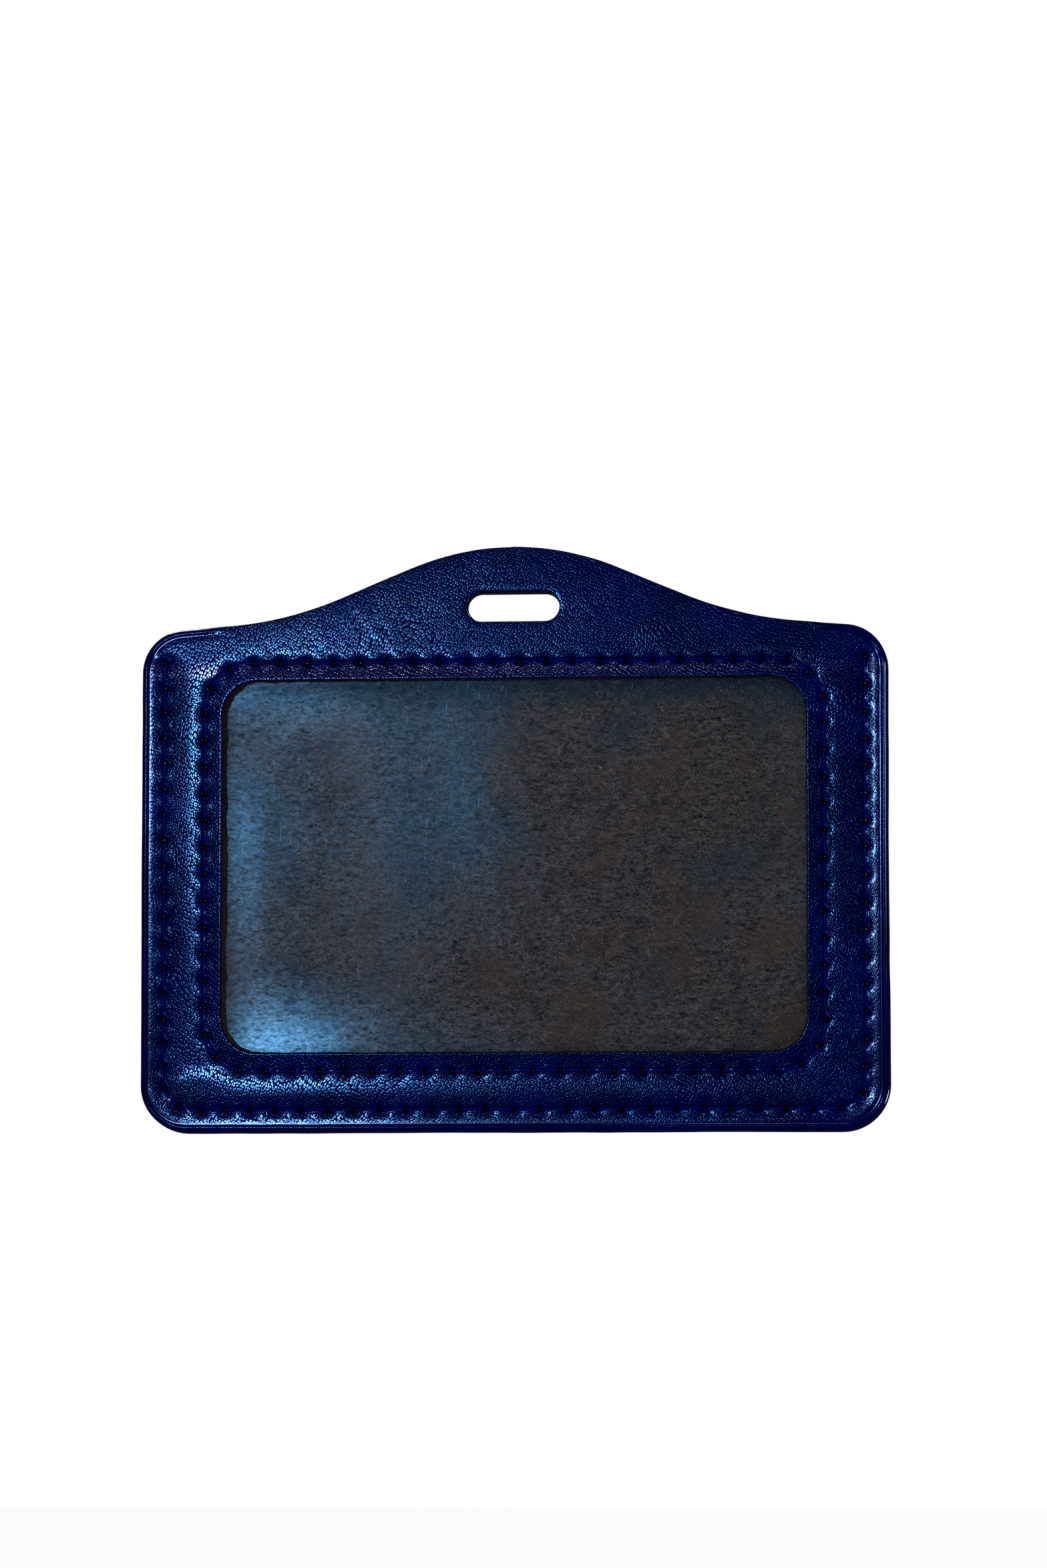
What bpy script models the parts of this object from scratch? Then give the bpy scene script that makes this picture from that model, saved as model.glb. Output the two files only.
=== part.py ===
"""Horizontal badge holder of imitation leather.

Two leaves are sewn together along the left, bottom and right edges. The front
leaf has a window of clear plastic, and both leaves rise in a hump that is
punched with a slot for a lanyard. The upper part of the rear leaf is not sewn:
it is the mouth of the pocket and bends back about a line just above the ends
of the seam.

Frame: upright, +Z up, the front faces -Y, the origin is the centre of the slot.
Lengths below are in millimetres and are turned into metres when meshes are made.
"""

import math

import bmesh
import bpy
from mathutils import Vector

MM = 0.001

# Outline of the leaves
WIDTH = 112.0
APEX_Z = 9.0
BOTTOM_Z = -78.6
CROWN_R = 40.0  # top of the hump
FLANK_DEG = 22.8  # steepest slope of the hump's flank
FLANK_RUN = 10.0  # straight part of the flank, measured along X
FOOT_R = 56.0  # hollow curve at the foot of the hump
SHOULDER_DEG = 4.35
TOP_CORNER_R = 6.5
BOTTOM_CORNER_R = 7.0

# Lanyard slot
SLOT_LENGTH = 14.0
SLOT_HEIGHT = 4.5

# Window cut-out: left, right, bottom, top and corner radius
WINDOW = (-43.95, 43.95, -66.9, -10.8)
WINDOW_R = 5.5
# The backing's own cut-out is cut a little small, and shows on the left
BACKING_WINDOW = (-43.25, 43.8, -66.7, -11.0)
BACKING_WINDOW_R = 5.3

# Seams
WINDOW_SEAM = (-46.5, 46.5, -69.6, -8.2)
WINDOW_SEAM_R = 7.0
EDGE_SEAM_X = 52.6
EDGE_SEAM_BOTTOM = -75.3
EDGE_SEAM_TOP = -8.0
EDGE_SEAM_R = 4.6
THREAD_R = 0.2
BOBBIN_R = 0.15
CHANNEL_HALF = 0.45  # half width of the sunk line that a seam pulls into a leaf
CHANNEL_DEPTH = 0.42

# Stack of layers through the thickness, front to back (Y)
FRONT_FACE = -1.875
LEATHER = 0.70
BACKING = 0.35
CLEAR = 0.25
LAYER_GAP = 0.20
POCKET = 0.80

FRONT_LEATHER_BACK = FRONT_FACE + LEATHER
BACKING_FRONT = FRONT_LEATHER_BACK + LAYER_GAP
BACKING_BACK = BACKING_FRONT + BACKING
SHEET_FRONT = BACKING_BACK + LAYER_GAP
SHEET_BACK = SHEET_FRONT + CLEAR
LINING_FRONT = SHEET_BACK + POCKET
LINING_BACK = LINING_FRONT + BACKING
REAR_FRONT = LINING_BACK + LAYER_GAP
REAR_FACE = REAR_FRONT + LEATHER

# Turned rim of the front leaf, on the left, bottom and right; above it the leaves part
RIM_WIDTH = 0.90
RIM_BACK = LINING_FRONT - 0.25
RIM_CLEAR = 0.25
RIM_TOP_Z = -9.5
ARRIS_END_X = 48.2  # the rounded front edge runs on round the upper corners to here

# Clear sheet
SHEET_MARGIN = 3.0  # past the window seam on every side

# Bend line of the mouth
FOLD_Z = -7.05
FOLD_GAP = 0.30


# ---------------------------------------------------------------- plane curves


def trace(x, z, heading, moves, corner_steps):
    """Points of a path of straight runs and arcs. A turn to the right is positive."""
    points = [(x, z)]
    h = math.radians(heading)
    for kind, a, b in moves:
        if kind == "line":
            x, z = x + a * math.cos(h), z + a * math.sin(h)
            points.append((x, z))
            continue
        turn = math.radians(a)
        side = -1.0 if turn > 0 else 1.0
        cx, cz = x - side * b * math.sin(h), z + side * b * math.cos(h)
        steps = max(2, round(abs(turn) * corner_steps / (math.pi / 2) * max(1.0, b / 14.0)))
        for k in range(1, steps + 1):
            g = h - turn * k / steps
            points.append((cx + side * b * math.sin(g), cz - side * b * math.cos(g)))
        x, z = points[-1]
        h -= turn
    return points


def leaf_outline(corner_steps=7):
    """Closed outline of a leaf: hump, shoulders, rounded corners, straight sides."""
    flank, shoulder = math.radians(FLANK_DEG), math.radians(SHOULDER_DEG)
    half = WIDTH / 2
    x_foot = CROWN_R * math.sin(flank) + FLANK_RUN + FOOT_R * (math.sin(flank) - math.sin(shoulder))
    x_corner = half - TOP_CORNER_R * (1 - math.sin(shoulder))
    hump = [
        ("arc", FLANK_DEG, CROWN_R),
        ("line", FLANK_RUN / math.cos(flank), 0),
        ("arc", SHOULDER_DEG - FLANK_DEG, FOOT_R),
        ("line", (x_corner - x_foot) / math.cos(shoulder), 0),
        ("arc", 90 - SHOULDER_DEG, TOP_CORNER_R),
    ]
    right = trace(0.0, APEX_Z, 0.0, hump, corner_steps)
    side_z = right[-1][1]
    down = [
        ("line", side_z - (BOTTOM_Z + BOTTOM_CORNER_R), 0),
        ("arc", 90, BOTTOM_CORNER_R),
    ]
    right += trace(half, side_z, -90.0, down, corner_steps)[1:]
    left = [(-px, pz) for px, pz in reversed(right[1:])]
    return right + left


def rounded_box(box, radius, steps=6):
    """Closed rounded rectangle in the X-Z plane."""
    x0, x1, z0, z1 = box
    points = []
    corners = (
        (x1 - radius, z1 - radius, 0),
        (x0 + radius, z1 - radius, 90),
        (x0 + radius, z0 + radius, 180),
        (x1 - radius, z0 + radius, 270),
    )
    for cx, cz, start in corners:
        for k in range(steps + 1):
            a = math.radians(start + 90 * k / steps)
            points.append((cx + radius * math.cos(a), cz + radius * math.sin(a)))
    return points


def slot_loop(dx=0.0, dz=0.0, shrink=0.0, steps=10):
    """Closed slot with round ends, centred at (dx, dz)."""
    r = SLOT_HEIGHT / 2 - shrink
    half = SLOT_LENGTH / 2 - shrink - r
    points = []
    for cx, start in ((half, -90), (-half, 90)):
        for k in range(steps + 1):
            a = math.radians(start + 180 * k / steps)
            points.append((dx + cx + r * math.cos(a), dz + r * math.sin(a)))
    return points


def inset(loop, depth):
    """A closed loop moved inwards. depth is a number, or a function of x and z."""
    area = sum(a[0] * b[1] - b[0] * a[1] for a, b in zip(loop, loop[1:] + loop[:1]))
    side = 1.0 if area > 0 else -1.0
    moved = []
    for i, (x, z) in enumerate(loop):
        before, after = Vector(loop[i - 1]), Vector(loop[(i + 1) % len(loop)])
        here = Vector((x, z))
        u, v = (here - before).normalized(), (after - here).normalized()
        n = Vector((-(u.y + v.y), u.x + v.x)).normalized() * side
        stretch = 1.0 / max(0.5, math.sqrt(max(0.0, (1 + u.dot(v)) / 2)))
        d = depth(x, z) if callable(depth) else depth
        moved.append((x + n.x * d * stretch, z + n.y * d * stretch))
    return moved


def ease(value, low, high):
    t = min(1.0, max(0.0, (value - low) / (high - low)))
    return t * t * (3 - 2 * t)


def arris_depth(edge, crown):
    """An inset of edge along the sides and round the corners, and of crown along the hump."""

    def depth(x, z):
        if z < -4.0:
            return edge
        return crown + (edge - crown) * ease(abs(x), ARRIS_END_X - 5.0, ARRIS_END_X - 0.5)

    return depth


def rim_depth(edge, crown):
    """An inset of edge beside the rim, and of crown above it."""

    def depth(x, z):
        return crown + (edge - crown) * ease(-z, 4.5, -RIM_TOP_Z)

    return depth


def clip(loop, z_cut, keep_above, crest=None):
    """The part of a closed loop above or below a level line, and of its crest, point for point."""
    crest = crest or loop
    kept, kept_crest = [], []
    n = len(loop)
    for i in range(n):
        (x0, z0), (x1, z1) = loop[i], loop[(i + 1) % n]
        (u0, w0), (u1, _) = crest[i], crest[(i + 1) % n]
        in0, in1 = (z0 > z_cut) == keep_above, (z1 > z_cut) == keep_above
        if in0:
            kept.append((x0, z0))
            kept_crest.append((u0, w0))
        if in0 != in1:
            t = (z_cut - z0) / (z1 - z0)
            kept.append((x0 + (x1 - x0) * t, z_cut))
            kept_crest.append((u0 + (u1 - u0) * t, z_cut))
    return kept, kept_crest


def edge_seam_path(steps=6):
    """The U of the perimeter seam, from its upper left end to its upper right end."""
    r, x, zb = EDGE_SEAM_R, EDGE_SEAM_X, EDGE_SEAM_BOTTOM
    points = [(-x, EDGE_SEAM_TOP)]
    for cx, start in ((-x + r, 180), (x - r, 270)):
        for k in range(steps + 1):
            a = math.radians(start + 90 * k / steps)
            points.append((cx + r * math.cos(a), zb + r + r * math.sin(a)))
    points.append((x, EDGE_SEAM_TOP))
    return points


def band(path, half, ends=5):
    """Closed loop round an open path, half to each side, with round ends."""
    left, right = [], []
    for i, p in enumerate(path):
        before, after = Vector(path[max(0, i - 1)]), Vector(path[min(len(path) - 1, i + 1)])
        t = (after - before).normalized()
        left.append((p[0] - t.y * half, p[1] + t.x * half))
        right.append((p[0] + t.y * half, p[1] - t.x * half))

    def cap(p, q):
        t = (Vector(p) - Vector(q)).normalized()
        a0 = math.atan2(t.y, t.x)
        return [
            (p[0] + half * math.cos(a0 + g), p[1] + half * math.sin(a0 + g))
            for g in (math.pi / 2 - math.pi * k / ends for k in range(1, ends))
        ]

    return left + cap(path[-1], path[-2]) + right[::-1] + cap(path[0], path[1])


# ------------------------------------------------------------------- materials


def material(name, colour, roughness, metallic=0.0, coat=0.0, alpha=1.0, transmission=0.0):
    m = bpy.data.materials.new(name)
    m.use_nodes = True
    shader = m.node_tree.nodes["Principled BSDF"]
    shader.inputs["Base Color"].default_value = (*colour, 1.0)
    shader.inputs["Roughness"].default_value = roughness
    shader.inputs["Metallic"].default_value = metallic
    shader.inputs["Coat Weight"].default_value = coat
    shader.inputs["Alpha"].default_value = alpha
    shader.inputs["Transmission Weight"].default_value = transmission
    m.diffuse_color = (*colour, alpha)
    return m


# ---------------------------------------------------------------------- solids


def ring(bm, loop, y):
    return [bm.verts.new((x * MM, y * MM, z * MM)) for x, z in loop]


def edges_of(bm, verts, closed=True):
    pairs = list(zip(verts, verts[1:] + verts[:1])) if closed else list(zip(verts, verts[1:]))
    return [bm.edges.get(p) or bm.edges.new(p) for p in pairs]


def walls(bm, first, second, closed=True):
    n = len(first)
    for i in range(n if closed else n - 1):
        j = (i + 1) % n
        bm.faces.new((first[i], first[j], second[j], second[i]))


def cap(bm, loops):
    edges = [e for verts in loops for e in edges_of(bm, verts)]
    bmesh.ops.triangle_fill(bm, use_beauty=True, use_dissolve=False, edges=edges)


def finish(name, bm, mat):
    bmesh.ops.recalc_face_normals(bm, faces=bm.faces[:])
    mesh = bpy.data.meshes.new(name)
    bm.to_mesh(mesh)
    bm.free()
    mesh.materials.append(mat)
    obj = bpy.data.objects.new(name, mesh)
    bpy.context.scene.collection.objects.link(obj)
    mesh.shade_smooth()
    mesh.set_sharp_from_angle(angle=math.radians(30))
    return obj


def sheet(name, sections, holes, mat):
    """A flat piece: outer loops from front to back with equal counts, and holes straight through."""
    bm = bmesh.new()
    outer = [ring(bm, loop, y) for loop, y in sections]
    for a, b in zip(outer, outer[1:]):
        walls(bm, a, b)
    y0, y1 = sections[0][1], sections[-1][1]
    front = [ring(bm, loop, y0) for loop in holes]
    back = [ring(bm, loop, y1) for loop in holes]
    for a, b in zip(front, back):
        walls(bm, a, b)
    cap(bm, [outer[0], *front])
    cap(bm, [outer[-1], *back])
    return finish(name, bm, mat)


def cutter(name, outer, holes, y0, y1):
    obj = sheet(name, [(outer, y0), (outer, y1)], holes, MATS["leather"])
    obj.hide_render = True
    obj.display_type = "WIRE"
    return obj


def cut(obj, tool):
    mod = obj.modifiers.new("seam_channel", "BOOLEAN")
    mod.operation = "DIFFERENCE"
    mod.solver = "EXACT"
    mod.object = tool


def thread(name, path, y, radius, closed, mat):
    """A thread as a round run along a path in the plane y."""
    curve = bpy.data.curves.new(name, "CURVE")
    curve.dimensions = "3D"
    curve.bevel_depth = radius * MM
    curve.bevel_resolution = 1
    curve.use_fill_caps = not closed
    spline = curve.splines.new("POLY")
    spline.points.add(len(path) - 1)
    for point, (x, z) in zip(spline.points, path):
        point.co = (x * MM, y * MM, z * MM, 1.0)
    spline.use_cyclic_u = closed
    curve.materials.append(mat)
    obj = bpy.data.objects.new(name, curve)
    bpy.context.scene.collection.objects.link(obj)
    return obj


def front_leather(mat):
    """The front leaf with its turned rim, window cut-out and slot."""
    outline = leaf_outline()
    crest = inset(outline, arris_depth(0.55, 0.10))
    inner = inset(outline, RIM_WIDTH)
    on_rim = [z < RIM_TOP_Z for x, z in outline]
    # the loop starts at the top of the hump, so the rim is one unbroken run of it
    run = [i for i, flag in enumerate(on_rim) if flag]
    first, last = run[0], run[-1]
    holes = [rounded_box(WINDOW, WINDOW_R), slot_loop()]

    bm = bmesh.new()
    front = ring(bm, crest, FRONT_FACE)
    shoulder = ring(bm, outline, FRONT_FACE + 0.45)
    back = ring(bm, outline, FRONT_LEATHER_BACK)
    walls(bm, front, shoulder)
    walls(bm, shoulder, back)
    rim_outer = ring(bm, [outline[i] for i in run], RIM_BACK)
    rim_inner = ring(bm, [inner[i] for i in run], RIM_BACK)
    rim_root = ring(bm, [inner[i] for i in run], FRONT_LEATHER_BACK)
    outer_root = [back[i] for i in run]
    walls(bm, outer_root, rim_outer, closed=False)
    walls(bm, rim_outer, rim_inner, closed=False)
    walls(bm, rim_inner, rim_root, closed=False)
    for k in (0, -1):
        bm.faces.new((outer_root[k], rim_outer[k], rim_inner[k], rim_root[k]))
    hole_front = [ring(bm, loop, FRONT_FACE) for loop in holes]
    hole_back = [ring(bm, loop, FRONT_LEATHER_BACK) for loop in holes]
    for a, b in zip(hole_front, hole_back):
        walls(bm, a, b)
    cap(bm, [front, *hole_front])
    cap(bm, [back[: first + 1] + rim_root + back[last:], *hole_back])
    return finish("front_leather", bm, mat)


for old in list(bpy.data.objects):
    bpy.data.objects.remove(old, do_unlink=True)

MATS = {
    "leather": material("navy_leather", (0.006, 0.010, 0.105), 0.32, coat=0.4),
    "backing": material("grey_backing", (0.075, 0.062, 0.055), 0.95),
    "lining": material("grey_felt", (0.115, 0.100, 0.090), 0.97),
    "clear": material("clear_vinyl", (0.86, 0.90, 0.93), 0.08, alpha=0.30, transmission=0.6),
    "thread": material("blue_thread", (0.012, 0.030, 0.300), 0.55),
}

OUTLINE = leaf_outline()

# Front leaf, its backing and the clear sheet
FRONT = front_leather(MATS["leather"])
seam_loop = rounded_box(WINDOW_SEAM, WINDOW_SEAM_R)
window_channel = cutter(
    "window_channel_cutter",
    inset(seam_loop, -CHANNEL_HALF),
    [inset(seam_loop, CHANNEL_HALF)],
    FRONT_FACE - 1.0,
    FRONT_FACE + CHANNEL_DEPTH,
)
edge_channel = cutter(
    "edge_channel_cutter",
    band(edge_seam_path(), CHANNEL_HALF),
    [],
    FRONT_FACE - 1.0,
    FRONT_FACE + CHANNEL_DEPTH,
)
cut(FRONT, window_channel)
cut(FRONT, edge_channel)

backing_outline = inset(OUTLINE, rim_depth(RIM_WIDTH + RIM_CLEAR, 0.15))
sheet(
    "front_backing",
    [(backing_outline, BACKING_FRONT), (backing_outline, BACKING_BACK)],
    [rounded_box(BACKING_WINDOW, BACKING_WINDOW_R), slot_loop(0.10, -0.12, 0.12)],
    MATS["backing"],
)

x0, x1, z0, z1 = WINDOW_SEAM
m = SHEET_MARGIN
clear_outline = rounded_box((x0 - m, x1 + m, z0 - m, z1 + m), 3.0)
sheet("window_sheet", [(clear_outline, SHEET_FRONT), (clear_outline, SHEET_BACK)], [], MATS["clear"])

# Rear leaf: its sewn part below the bend line, and the free flap above it
low, high = FOLD_Z - FOLD_GAP / 2, FOLD_Z + FOLD_GAP / 2
lining_outline = inset(OUTLINE, 0.20)
rear_crest = inset(OUTLINE, 0.35)
rear_out_low, rear_back_low = clip(OUTLINE, low, False, rear_crest)
rear_out_high, rear_back_high = clip(OUTLINE, high, True, rear_crest)

REAR = sheet(
    "rear_leather",
    [(rear_out_low, REAR_FRONT), (rear_out_low, REAR_FACE - 0.30), (rear_back_low, REAR_FACE)],
    [],
    MATS["leather"],
)
rear_channel = cutter(
    "rear_channel_cutter",
    band(edge_seam_path(), CHANNEL_HALF),
    [],
    REAR_FACE - CHANNEL_DEPTH,
    REAR_FACE + 1.0,
)
cut(REAR, rear_channel)
lining_low, _ = clip(lining_outline, low, False)
sheet("rear_lining", [(lining_low, LINING_FRONT), (lining_low, LINING_BACK)], [], MATS["lining"])

# The flap's origin lies on its bend line, at the leaf's rear face
hinge = bpy.data.objects.new("mouth_bend_line", None)
hinge.location = (0.0, REAR_FACE * MM, FOLD_Z * MM)
bpy.context.scene.collection.objects.link(hinge)
bpy.context.view_layer.update()


def hang(obj):
    obj.parent = hinge
    obj.matrix_parent_inverse = hinge.matrix_world.inverted()


hang(
    sheet(
        "rear_flap_leather",
        [(rear_out_high, REAR_FRONT), (rear_out_high, REAR_FACE - 0.30), (rear_back_high, REAR_FACE)],
        [slot_loop()],
        MATS["leather"],
    )
)
lining_high, _ = clip(lining_outline, high, True)
hang(
    sheet(
        "rear_flap_lining",
        [(lining_high, LINING_FRONT), (lining_high, LINING_BACK)],
        [slot_loop(0.0, -0.08, 0.10)],
        MATS["lining"],
    )
)

# Threads
face_y = FRONT_FACE + CHANNEL_DEPTH - 0.20 - THREAD_R
thread("window_needle_thread", rounded_box(WINDOW_SEAM, WINDOW_SEAM_R), face_y, THREAD_R, True, MATS["thread"])
thread("edge_needle_thread", edge_seam_path(), face_y, THREAD_R, False, MATS["thread"])
thread(
    "window_bobbin_thread",
    rounded_box(WINDOW_SEAM, WINDOW_SEAM_R),
    SHEET_BACK + 0.20 + BOBBIN_R,
    BOBBIN_R,
    True,
    MATS["thread"],
)
thread(
    "edge_bobbin_thread",
    edge_seam_path(),
    REAR_FACE - CHANNEL_DEPTH + 0.20 + THREAD_R,
    THREAD_R,
    False,
    MATS["thread"],
)
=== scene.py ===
"""Looks of the badge holder: every visible surface, the camera, the lights and the floor.

All lengths named below are millimetres in the frame of the CAD (+Z up, the front
faces -Y, the origin is the middle of the lanyard slot); meshes are made in metres.
"""

import math

import bpy
import numpy as np
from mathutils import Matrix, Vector
from mathutils.geometry import delaunay_2d_cdt
from mathutils.kdtree import KDTree


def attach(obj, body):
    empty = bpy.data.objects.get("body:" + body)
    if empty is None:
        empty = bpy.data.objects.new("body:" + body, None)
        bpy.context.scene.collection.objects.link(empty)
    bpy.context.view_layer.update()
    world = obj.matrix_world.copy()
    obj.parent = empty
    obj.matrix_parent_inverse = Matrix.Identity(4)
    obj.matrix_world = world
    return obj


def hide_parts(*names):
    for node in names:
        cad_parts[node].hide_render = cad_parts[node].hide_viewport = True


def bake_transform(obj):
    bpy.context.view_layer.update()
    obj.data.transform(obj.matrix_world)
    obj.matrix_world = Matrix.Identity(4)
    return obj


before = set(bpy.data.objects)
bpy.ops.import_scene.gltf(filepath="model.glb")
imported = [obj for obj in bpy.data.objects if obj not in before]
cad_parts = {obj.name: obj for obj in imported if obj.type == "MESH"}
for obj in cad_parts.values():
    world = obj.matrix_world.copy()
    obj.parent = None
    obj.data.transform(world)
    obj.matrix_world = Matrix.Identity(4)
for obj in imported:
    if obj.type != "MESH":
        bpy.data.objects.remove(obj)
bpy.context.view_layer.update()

MM = 0.001

# ------------------------------------------------------- sizes, as in the CAD

WIDTH, APEX_Z, BOTTOM_Z = 112.0, 9.0, -78.6
CROWN_R, FLANK_DEG, FLANK_RUN, FOOT_R, SHOULDER_DEG = 40.0, 22.8, 10.0, 56.0, 4.35
TOP_CORNER_R, BOTTOM_CORNER_R = 6.5, 7.0
SLOT_LENGTH, SLOT_HEIGHT = 14.0, 4.5
WINDOW, WINDOW_R = (-43.95, 43.95, -66.9, -10.8), 5.5
BACKING_WINDOW, BACKING_WINDOW_R = (-43.25, 43.8, -66.7, -11.0), 5.3
WINDOW_SEAM, WINDOW_SEAM_R = (-46.5, 46.5, -69.6, -8.2), 7.0
EDGE_SEAM_X, EDGE_SEAM_BOTTOM, EDGE_SEAM_TOP, EDGE_SEAM_R = 52.6, -75.3, -8.0, 4.6
FRONT_FACE, FRONT_BACK = -1.875, -1.06
RIM_BACK, RIM_WIDTH = 0.375, 0.90
BACKING_FRONT, BACKING_BACK = -1.02, -0.60
SHEET_FRONT, SHEET_BACK = -0.50, -0.25
LINING_FRONT, LINING_BACK = 0.60, 1.02
REAR_FRONT, REAR_FACE = 1.10, 1.875
FOLD_Z = -7.05

# ------------------------------------------------------------- plane geometry


def trace(x, z, heading, moves, step=0.12):
    points = [(x, z)]
    h = math.radians(heading)
    for kind, a, b in moves:
        if kind == "line":
            x, z = x + a * math.cos(h), z + a * math.sin(h)
            points.append((x, z))
            continue
        turn = math.radians(a)
        side = -1.0 if turn > 0 else 1.0
        cx, cz = x - side * b * math.sin(h), z + side * b * math.cos(h)
        n = max(4, math.ceil(abs(turn) * b / step))
        for k in range(1, n + 1):
            g = h - turn * k / n
            points.append((cx + side * b * math.sin(g), cz - side * b * math.cos(g)))
        x, z = points[-1]
        h -= turn
    return points


def leaf_path():
    flank, shoulder = math.radians(FLANK_DEG), math.radians(SHOULDER_DEG)
    half = WIDTH / 2
    x_foot = CROWN_R * math.sin(flank) + FLANK_RUN + FOOT_R * (math.sin(flank) - math.sin(shoulder))
    x_corner = half - TOP_CORNER_R * (1 - math.sin(shoulder))
    right = trace(
        0.0,
        APEX_Z,
        0.0,
        [
            ("arc", FLANK_DEG, CROWN_R),
            ("line", FLANK_RUN / math.cos(flank), 0),
            ("arc", SHOULDER_DEG - FLANK_DEG, FOOT_R),
            ("line", (x_corner - x_foot) / math.cos(shoulder), 0),
            ("arc", 90 - SHOULDER_DEG, TOP_CORNER_R),
        ],
    )
    side_z = right[-1][1]
    right += trace(
        half,
        side_z,
        -90.0,
        [("line", side_z - (BOTTOM_Z + BOTTOM_CORNER_R), 0), ("arc", 90, BOTTOM_CORNER_R)],
    )[1:]
    left = [(-px, pz) for px, pz in reversed(right[1:])]
    return np.array(right + left)


def box_path(box, radius):
    """Rounded rectangle, clockwise, from the middle of its top side."""
    x0, x1, z0, z1 = box
    w, h = x1 - x0, z1 - z0
    moves = []
    for run in (w / 2 - radius, h - 2 * radius, w - 2 * radius, h - 2 * radius, w / 2 - radius):
        moves += [("line", run, 0), ("arc", 90, radius)]
    return np.array(trace((x0 + x1) / 2, z1, 0.0, moves[:-1]))[:-1]


def slot_path(dx=0.0, dz=0.0, shrink=0.0):
    r = SLOT_HEIGHT / 2 - shrink
    run = SLOT_LENGTH - 2 * shrink - 2 * r
    moves = [("line", run / 2, 0), ("arc", 180, r), ("line", run, 0), ("arc", 180, r), ("line", run / 2, 0)]
    return np.array(trace(dx, dz + r, 0.0, moves))[:-1]


def edge_seam_path():
    """The U of the perimeter seam, from its upper left end down and round to its upper right end."""
    run = EDGE_SEAM_TOP - (EDGE_SEAM_BOTTOM + EDGE_SEAM_R)
    moves = [
        ("line", run, 0),
        ("arc", -90, EDGE_SEAM_R),
        ("line", 2 * (EDGE_SEAM_X - EDGE_SEAM_R), 0),
        ("arc", -90, EDGE_SEAM_R),
        ("line", run, 0),
    ]
    return np.array(trace(-EDGE_SEAM_X, EDGE_SEAM_TOP, -90.0, moves))


def resample(path, step, closed=True):
    p = np.vstack([path, path[:1]]) if closed else path
    seg = np.linalg.norm(np.diff(p, axis=0), axis=1)
    s = np.r_[0.0, np.cumsum(seg)]
    n = max(8, round(s[-1] / step))
    t = np.linspace(0.0, s[-1], n, endpoint=False) if closed else np.linspace(0.0, s[-1], n + 1)
    return np.c_[np.interp(t, s, p[:, 0]), np.interp(t, s, p[:, 1])]


def inward(loop):
    """Unit normals that point into a closed loop."""
    t = np.roll(loop, -1, 0) - np.roll(loop, 1, 0)
    t /= np.linalg.norm(t, axis=1)[:, None]
    area = np.sum(loop[:, 0] * np.roll(loop[:, 1], -1) - np.roll(loop[:, 0], -1) * loop[:, 1])
    return np.c_[-t[:, 1], t[:, 0]] * (1.0 if area > 0 else -1.0)


class BoxPath:
    """Rounded rectangle, run clockwise from the middle of its top side. It answers how far a point
    is from the line, how far along the line the closest point is, and on which side (1 outside)."""

    def __init__(self, box, radius):
        x0, x1, z0, z1 = box
        self.c = ((x0 + x1) / 2, (z0 + z1) / 2)
        self.h = ((x1 - x0) / 2 - radius, (z1 - z0) / 2 - radius)
        self.r = radius
        self.quarter = self.h[0] + math.pi * radius / 2 + self.h[1]
        self.total = 4 * self.quarter

    def near(self, q):
        x, z = q[:, 0] - self.c[0], q[:, 1] - self.c[1]
        ax, az = np.abs(x) - self.h[0], np.abs(z) - self.h[1]
        sd = np.hypot(np.maximum(ax, 0), np.maximum(az, 0)) + np.minimum(np.maximum(ax, az), 0) - self.r
        corner = (ax > 0) & (az > 0)
        flat = az >= ax
        s = np.where(flat, np.minimum(np.abs(x), self.h[0]), self.h[0] + math.pi * self.r / 2 + self.h[1] - np.minimum(np.abs(z), self.h[1]))
        s = np.where(corner, self.h[0] + self.r * np.arctan2(np.maximum(ax, 1e-9), np.maximum(az, 1e-9)), s)
        s = np.where(x >= 0, np.where(z >= 0, s, 2 * self.quarter - s), np.where(z < 0, 2 * self.quarter + s, 4 * self.quarter - s))
        return np.abs(sd), np.mod(s, self.total), np.where(sd > 0, 1.0, -1.0)

    def at(self, s):
        s = np.mod(np.asarray(s, float), self.total)
        turn = s > 2 * self.quarter
        t = np.where(turn, s - 2 * self.quarter, s)
        low = t > self.quarter
        t = np.where(low, 2 * self.quarter - t, t)
        a = np.clip((t - self.h[0]) / self.r, 0, math.pi / 2)
        x = np.minimum(t, self.h[0]) + self.r * np.sin(a)
        z = self.h[1] + self.r * np.cos(a) - np.maximum(t - self.h[0] - math.pi * self.r / 2, 0)
        z = np.where(low, -z, z)
        x, z = np.where(turn, -x, x), np.where(turn, -z, z)
        return np.c_[x + self.c[0], z + self.c[1]]


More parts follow.
